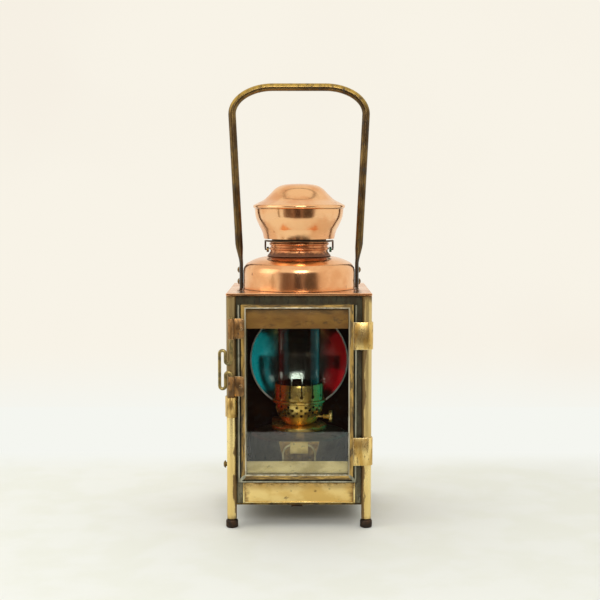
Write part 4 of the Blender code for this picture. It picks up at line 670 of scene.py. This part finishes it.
# Neck: a copper tube with two rolled beads on a flared skirt, soldered into the dome's mouth.
low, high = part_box("neck")
bore, tube, bead = 27.4 * MM, 28.3 * MM, 1.3 * MM
skirt_top = low.z + 4.8 * MM
clear_height = high.z - skirt_top
outline = [(tube, high.z)]
for share in (0.78, 0.28):
    outline += arc((tube, skirt_top + clear_height * share), bead, 90, -90, 10)
skirt = [(tube, skirt_top), (tube + 0.5 * MM, skirt_top - 1.2 * MM), (high.x - 0.8 * MM, low.z + 1.2 * MM),
         (high.x, low.z)]
outline += eased(skirt, 4)
outline += [(high.x - sheet, low.z), (bore, skirt_top + sheet / 2), (bore, high.z), (tube, high.z)]
# Copper in the lamp's heat: red-brown, darker towards the skirt at the foot of the neck.
neck_copper = metal("smoked_copper", "#DE9A68", "#BE7A50", "#6A4430", 0.26, 12 * MM, 0.4,
                    [("Z", 240 * MM, 236.5 * MM)])
piece("beaded_neck", spun(outline, 96), neck_copper, "lamp", "copper", "neck")


# Cowl: a flared funnel of copper on an inner tube. Its bell-shaped lid has a wired rim and stands on
# three arms inside, so that the smoke leaves under the rim.
low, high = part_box("cowl")
tall = high.z - low.z
flare = [(43.8, 1.0), (43.35, 0.82), (42.3, 0.66), (39.9, 0.47), (37.3, 0.3), (35.75, 0.16), (34.9, 0.0)]
line = eased([(r * MM, low.z + tall * z) for r, z in flare[:5]], 5)
line += [(r * MM, low.z + tall * z) for r, z in flare[5:]]
cowl_copper = metal("spun_cowl_copper", "#F8C390", "#ECAC78", "#AE6A3C", 0.18, 22 * MM, 0.18, dent=0.3 * MM,
                    pits=12 * MM, dull=0.4)
piece("flared_cowl", spun(thick(line, sheet), 128), cowl_copper, "cowl", "copper", "cowl")
low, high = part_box("cowl_lid")
rim, height, bead = high.x, high.z - low.z, 2.1 * MM
shape = [(0.0, 1.0), (0.13, 0.995), (0.26, 0.98), (0.4, 0.925), (0.52, 0.8), (0.64, 0.57), (0.76, 0.365),
         (0.87, 0.26)]
line = eased([(rim * r, low.z + height * z) for r, z in shape], 5)
line += arc((rim - bead, low.z + bead), bead, 80, -90, 12)
line += [(max(r - sheet, 0), z - sheet) for r, z in [(rim * a, low.z + height * b) for a, b in reversed(shape)]]
piece("bell_lid", spun(line, 128), cowl_copper, "cowl", "copper", "cowl_lid")
dress(dark_tin, "cowl_inner_tube", "cowl_spider")


# Cowl clip: a bow of dark iron wire sprung into two lugs; the right lug has gone green.
low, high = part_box("cowl_clip")
clip_wire, bow, corner = 0.9 * MM, 33.4 * MM, 6
pivot_z, top_z, inner_end = low.z + clip_wire, high.z - clip_wire, 30.2 * MM
rise = [(bow * math.cos(math.radians(180 + corner * s)), bow * math.sin(math.radians(180 + corner * s)),
         pivot_z + (top_z - pivot_z) * s) for s in (0.0, 0.25, 0.5, 0.75)]
line = [(-inner_end, 0, pivot_z)] + rise
line += [(x, y, top_z) for x, y in arc((0, 0), bow, 180 + corner, 360 - corner, 40)]
line += [(-x, y, z) for x, y, z in reversed([(-inner_end, 0, pivot_z)] + rise)]
dark_wire = metal("dark_iron_wire", "#6A543C", "#4C3C2E", "#2A221C", 0.4, 8 * MM, 0.5)
piece("sprung_clip_wire", swept(line, (0, 1, 0), clip_wire, 12), dark_wire, "cowl_clip", "iron", "cowl_clip")
# Verdigris: a green crust, matt, where water has lain; the left lug is only browned.
lug_brass = metal("browned_lug_brass", "#A0804C", "#705A38", "#3A3022", 0.4, 5 * MM, 0.4)
verdigris = metal("verdigris_crust", "#5C8A76", "#3B6A5A", "#24483E", 0.6, 3 * MM, 0.4, dull=0.9)
crust_ring = arc((28.6 * MM, 236.2 * MM), 0.55 * MM, 0, 360, 8)
piece("green_crust_line", spun(crust_ring, 72), verdigris, "lamp", "copper")
dress(lug_brass, "left_clip_lug")
dress(verdigris, "right_clip_lug")


# Carrying handle: a brass rod bent to a hoop, its ends forged flat and riveted to the case, brown on the
# legs and gold along the top of the grip, part rubbed by the hand and part a painted highlight where it looks up.
low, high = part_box("carrying_handle")
rod, blade_thin, blade_wide = 3.75 * MM, 1.8 * MM, 5.5 * MM
blade_x, spread, corner_rise, corner_reach = 57.3 * MM, 65.75 * MM, 26 * MM, 40 * MM
blade_top, necking, lean = 227.7 * MM, 19 * MM, 2.2 * MM
crest = high.z - rod
path = [(blade_x, low.z), (blade_x, low.z + 12 * MM), (blade_x, blade_top - 3 * MM)]
sections = [(blade_thin, blade_wide)] * 3
for share in (0.0, 0.2, 0.4, 0.6, 0.8, 1.0):
    eased_share = share * share * (3 - 2 * share)
    path.append((blade_x + lean * share, blade_top + necking * share))
    sections.append((blade_thin + (rod - blade_thin) * eased_share, blade_wide + (rod - blade_wide) * eased_share))
leg = (path[-1], (spread, crest - corner_rise))
for share in (0.15, 0.3, 0.45, 0.6, 0.75, 0.9):
    path.append(tuple(a + (b - a) * share for a, b in zip(*leg)))
path += [(spread - corner_reach * (1 - x), crest - corner_rise * (1 - z)) for x, z in arc((0, 0), 1, 0, 90, 16)]
sections += [(rod, rod)] * (len(path) - len(sections))
path = path + [(0.0, crest)] + [(-x, z) for x, z in reversed(path)]
sections = sections + [(rod, rod)] + sections[::-1]
# Brown patina: chocolate and olive on the legs; from 372 mm upwards the faces that look up are gold,
# part palm wear and part painted highlight.
handle_brass = metal("palm_rubbed_and_painted_highlight_handle_brass", "#7E663E", "#54422C", "#34302A", 0.32, 12 * MM, 0.5,
                     [("Z", 240 * MM, 226 * MM)], streak=2.0, dull=0.7, rub_and_highlight=("#C4A252", 372 * MM, 386 * MM))
piece("hoop_handle", swept([(x, 0, z) for x, z in path], (0, 1, 0), sections, 24), handle_brass, "lamp",
      "dark_brass", "carrying_handle")
rivet_brass = metal("hammered_rivet_brass", "#86683E", "#5A4630", "#30261C", 0.4, 3 * MM, 0.4)
for name in ("left_lower_handle_rivet", "left_upper_handle_rivet", "right_lower_handle_rivet",
             "right_upper_handle_rivet"):
    low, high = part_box(name)
    side = 1 if high.x > 0 else -1
    centre = (low + high) / 2
    head, height = (high.z - low.z) / 2, high.x - low.x
    ball = (head * head + height * height) / (2 * height)
    brow = math.degrees(math.asin((ball - height) / ball))
    outline = [(0, 0)] + arc((0, height - ball), ball, brow, 90, 8)
    turn = Matrix.Rotation(side * math.pi / 2, 4, "Y")
    start = low.x if side > 0 else high.x
    piece(name + "_head", spun(outline, 32, (start, 0, centre.z), turn), rivet_brass, "lamp", "dark_brass", name)


# Reflector: a spun dish silvered to a mirror, its rim rolled over a wire and painted pale, a painted highlight.
low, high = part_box("reflector")
dish, crest, depth, vertex = 51.1 * MM, 0.9 * MM, 20 * MM, 60.6 * MM
ball = (dish * dish + depth * depth) / (2 * depth)
widest = math.degrees(math.asin(dish / ball))
shares = [math.radians(widest * i / 24) for i in range(25)]
hollow = [(ball * math.sin(turned), ball * (1 - math.cos(turned))) for turned in shares]
# Silvered copper: mirror bright with a warm cast, clouded in patches; the rim is painted pale as a painted
# highlight.
silver = metal("silvered_copper_mirror", "#E9E6E2", "#DAD6D0", "#8D8073", 0.12, 40 * MM, 0.12)
painted_highlight_rim_metal = metal("painted_highlight_white_rim", "#FBF8F2", "#EFE8DC", "#B8AC9A", 0.3, 12 * MM, 0.15, shine=0.3)
turn = Matrix.Rotation(math.pi / 2, 4, "X")
place = (0, vertex, (low.z + high.z) / 2)
inner = dish - crest
outline = [point for point in hollow if point[0] < inner]
outline += [(r, z - sheet) for r, z in reversed(outline)]
piece("mirror_dish", spun(outline, 128, place, turn), silver, "lamp", "silvered", "reflector")
roll = arc((dish - crest, depth - crest), crest, 0, 360, 12)
piece("mirror_rim", spun(roll, 128, place, turn), painted_highlight_rim_metal, "lamp", "silvered")


# Oil fount: a round tin drum with a crowned top, standing on its shelf; it draws out by the ring on the
# brass plate soldered to its front.
low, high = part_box("oil_fount")
drum, edge_radius = high.x, 2.5 * MM
edge = low.z + 36.2 * MM
outline = [(0, low.z), (drum - edge_radius, low.z)]
outline += arc((drum - edge_radius, low.z + edge_radius), edge_radius, -80, 0, 5)
outline += arc((drum - edge_radius, edge - edge_radius), edge_radius, 0, 70, 6)
outline += [(drum - 8 * MM, edge + 1.2 * MM), (28 * MM, high.z), (11 * MM, high.z), (11 * MM, high.z - 1.2 * MM)]
outline += [(0, high.z - 1.2 * MM)]
fount_tin = metal("oily_fount_tin", "#7A6F5E", "#625848", "#332C24", 0.42, 16 * MM, 0.45)
piece("drum_fount", spun(outline, 96), fount_tin, "lamp", "dark_tin", "oil_fount")
# Sheet brass fittings: yellow gold on the plate and strap, oil-brown in the hollows.
plate_brass = metal("gold_plate_brass", "#C8A25C", "#8C6C3C", "#4E3C24", 0.34, 8 * MM, 0.45, dull=0.6, shine=0.7)
ring_brass = metal("pale_ring_wire_brass", "#D2C290", "#B8A676", "#8A7448", 0.3, 7 * MM, 0.2, shine=0.4)
strap_gold = metal("rubbed_strap_brass", "#E6CA80", "#CDAE64", "#86683A", 0.3, 7 * MM, 0.25, shine=0.5)
dress(plate_brass, "fount_filler_cap")
bm = smooth_copy("ring_plate", 0.2 * MM)
plate_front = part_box("ring_plate")[1].y - 1.2 * MM
for face in bm.faces:
    if face.calc_center_median().y < plate_front:
        face.material_index = 2
piece("ring_strap_plate", bm, (plate_brass, ring_brass, strap_gold), "lamp", "brass", "ring_plate")
low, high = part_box("ring_pull")
ring_wire, ring_corner = 1.0 * MM, 9 * MM
ring_y = (low.y + high.y) / 2
right, left, top, foot = high.x - ring_wire, low.x + ring_wire, high.z - ring_wire, low.z + ring_wire
line = arc((right - ring_corner, top - ring_corner), ring_corner, 0, 90, 8)
line += arc((left + ring_corner, top - ring_corner), ring_corner, 90, 180, 8)
line += arc((left + ring_corner, foot + ring_corner), ring_corner, 180, 270, 8)
line += arc((right - ring_corner, foot + ring_corner), ring_corner, 270, 360, 8)
piece("wire_ring", swept([(x, ring_y, z) for x, z in line], (0, 1, 0), ring_wire, 14, True), ring_brass,
      "ring_pull", "brass", "ring_pull")


# Burner: a bright brass collar screwed to the fount, a pierced air basket, a gallery ring and a crown
# sawn into thirteen springs that grip the chimney.
# Bright brass under glass: rich yellow with little tarnish.
burner_brass = metal("bright_burner_brass", "#FBD680", "#EFC264", "#9A7030", 0.26, 12 * MM, 0.1, shine=0.9)
low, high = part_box("burner_collar")
radius, edge, bore = high.x, 0.9 * MM, 10 * MM
outline = [(bore, low.z), (radius - edge, low.z)] + arc((radius - edge, low.z + edge), edge, -80, 0, 4)
outline += arc((radius - edge, high.z - edge), edge, 0, 80, 4) + [(bore, high.z), (bore, low.z)]
piece("screwed_collar", spun(outline, 96), burner_brass, "lamp", "bright_brass", "burner_collar")
low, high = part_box("burner_gallery")
radius, mouth, roll = high.x, 18.5 * MM, 1.5 * MM
outline = [(mouth, low.z + 0.9 * MM), (radius - 2 * roll, low.z + 0.5 * MM)]
outline += arc((radius - roll, low.z + roll), roll, 200, 500, 16)
outline += [(radius - 2 * roll, low.z + 2.2 * MM), (mouth, low.z + 1.8 * MM), (mouth, low.z + 0.9 * MM)]
piece("rolled_gallery", spun(outline, 96), burner_brass, "lamp", "bright_brass", "burner_gallery")

low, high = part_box("burner_basket")
holes, rows, first_row, row_height, hole = 17, 4, 11.0 * MM, 2.95 * MM, 1.38 * MM
profile = [(0.0, 12.5), (2.9, 17.0), (6.0, 19.2), (9.5, 21.1), (13.0, 22.5), (16.5, 23.4), (20.0, 23.85),
           (22.2, 24.0)]


def basket_radius(height):
    """The basket's radius at a height over its foot."""
    for (z0, r0), (z1, r1) in zip(profile, profile[1:]):
        if height <= z1 * MM:
            return (r0 + (r1 - r0) * (height / MM - z0) / (z1 - z0)) * MM
    return profile[-1][1] * MM


def blacken_inside(bm):
    """Gives material 1 to the faces that look towards the upright axis."""
    bm.normal_update()
    for face in bm.faces:
        middle = face.calc_center_median()
        if face.normal.x * middle.x + face.normal.y * middle.y < 0:
            face.material_index = 1


cell = math.tau / holes
bm = bmesh.new()
for row in range(rows):
    centre_z = first_row + row_height * row
    mean = basket_radius(centre_z)
    for count in range(holes):
        inside = bmesh.ops.create_circle(bm, segments=16, radius=hole)["verts"]
        outside = bmesh.ops.create_circle(bm, segments=16, radius=1.0)["verts"]
        bmesh.ops.scale(bm, vec=(1 / mean, 1, 1), verts=inside)
        for i, vert in enumerate(outside):
            side = ((i + 2) % 16) / 4
            along = (side % 1 - 0.5)
            corner = ((0.5, along), (-along, 0.5), (-0.5, -along), (along, -0.5))[int(side)]
            vert.co.x, vert.co.y = corner[0] * cell, corner[1] * row_height
        loops = list({e for v in inside + outside for e in v.link_edges})
        bmesh.ops.bridge_loops(bm, edges=loops)
        start = (count + 0.5 * (row % 2)) * cell
        bmesh.ops.translate(bm, vec=(start, centre_z, 0), verts=inside + outside)
quarter = cell / 4
for start, end, parts in ((0.0, first_row - row_height / 2, 4),
                          (first_row + row_height * (rows - 0.5), high.z - low.z, 4)):
    made = bmesh.ops.create_grid(bm, x_segments=holes * 4, y_segments=parts, size=0.5)["verts"]
    bmesh.ops.scale(bm, vec=(holes * cell, end - start, 1), verts=made)
    bmesh.ops.translate(bm, vec=((holes - 1) * cell / 2, (start + end) / 2, 0), verts=made)
for vert in bm.verts:
    turned, height = vert.co.x, vert.co.y
    reach = basket_radius(height)
    vert.co = (reach * math.cos(turned), reach * math.sin(turned), low.z + height)
bmesh.ops.remove_doubles(bm, verts=bm.verts, dist=0.05 * MM)
bmesh.ops.recalc_face_normals(bm, faces=bm.faces)
bmesh.ops.solidify(bm, geom=bm.faces[:], thickness=0.5 * MM)
blacken_inside(bm)
piece("pierced_basket", bm, (burner_brass, soot), "lamp", "bright_brass", "burner_basket")

low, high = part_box("burner_crown")
springs, slot, keyhole, keyhole_rise, phase = 13, 0.75 * MM, 1.7 * MM, 4.2 * MM, math.radians(-84)
radius, tall = high.x, high.z - low.z
half = math.pi / springs * radius
opening = math.degrees(math.asin(slot / keyhole))
notch = arc((0, keyhole_rise), keyhole, 90 - opening, -90, 8)
side_line = [(x, z) for x, z in notch] + [(0.0, 0.0)]
right_side = [(slot, tall)] + side_line
bm = bmesh.new()
for count in range(springs):
    start = 2 * half * count
    outline = [(start + x, z) for x, z in right_side] + [(start + 2 * half - x, z) for x, z in reversed(right_side)]
    verts = [bm.verts.new((x, z, 0)) for x, z in outline]
    bm.faces.new(verts)
bmesh.ops.remove_doubles(bm, verts=bm.verts, dist=0.01 * MM)
for share in range(1, springs * 6):
    bmesh.ops.bisect_plane(bm, geom=bm.verts[:] + bm.edges[:] + bm.faces[:],
                           plane_co=(2 * half * share / 6, 0, 0), plane_no=(1, 0, 0))
for level in (0.93, 0.86):
    bmesh.ops.bisect_plane(bm, geom=bm.verts[:] + bm.edges[:] + bm.faces[:], plane_co=(0, tall * level, 0),
                           plane_no=(0, 1, 0))
for vert in bm.verts:
    turned, height = vert.co.x / radius + phase, vert.co.y
    lean = radius - 0.6 * MM * max(0.0, (height / tall - 0.86) / 0.14)
    vert.co = (lean * math.cos(turned), lean * math.sin(turned), low.z + height)
bmesh.ops.remove_doubles(bm, verts=bm.verts, dist=0.02 * MM)
bmesh.ops.recalc_face_normals(bm, faces=bm.faces)
bmesh.ops.solidify(bm, geom=bm.faces[:], thickness=0.5 * MM)
blacken_inside(bm)
piece("sprung_crown", bm, (burner_brass, soot), "lamp", "bright_brass", "burner_crown")
tube_brass = metal("wick_tube_brass", "#C39C55", "#94733D", "#3E2E1A", 0.35, 6 * MM, 0.4)
dress(tube_brass, "wick_tube", "wick_spindle")


# Chimney: blown clear glass, straight-sided, drawn in towards the neck.
low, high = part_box("glass_chimney")
wall = 1.6 * MM
tall = high.z - low.z
shape = [(17.0, 1.0), (17.0, 0.9), (17.1, 0.82), (17.9, 0.75), (19.2, 0.68), (20.9, 0.62), (21.5, 0.56), (21.5, 0.3),
         (21.5, 0.0)]
line = eased([(r * MM, low.z + tall * z) for r, z in shape], 4)
chimney_glass = glass("blown_chimney_glass", "#EEF2F0")
piece("lamp_chimney", spun(thick(line, wall), 96), chimney_glass, "lamp", "clear_glass", "glass_chimney")


# Wick and winder knob: a tube of woven cotton, and a ribbed brass knob that turns the winder.
def cotton():
    """Woven cotton, charred at the tip."""
    material = bpy.data.materials.new("woven_cotton")
    material.use_nodes = True
    tree = material.node_tree
    shader = tree.nodes["Principled BSDF"]
    shader.inputs["Roughness"].default_value = 0.9
    place = node(tree, "TexCoord").outputs["Object"]
    axes = node(tree, "SeparateXYZ", {"Vector": place})
    weave = node(tree, "TexWave", {"Vector": place, "Scale": 1 / (2.4 * MM), "Distortion": 1.5},
                 bands_direction="DIAGONAL")
    tone = mixed(tree, weave.outputs["Fac"], linear("#CDBF9E"), linear("#A8997A"))
    char = ramp(tree, axes.outputs["Z"], 100.5 * MM, 102.4 * MM)
    tree.links.new(mixed(tree, char, tone, linear("#1C1815")), shader.inputs["Base Color"])
    normal = node(tree, "Bump", {"Height": weave.outputs["Fac"], "Strength": 0.6, "Distance": 0.2 * MM})
    tree.links.new(normal.outputs["Normal"], shader.inputs["Normal"])
    return material


dress(cotton(), "wick")
piece("ribbed_knob", smooth_copy("wick_knob", 0.1 * MM, 1), (burner_brass, rubbed_edge), "wick_winder",
      "bright_brass", "wick_knob")


low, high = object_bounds()
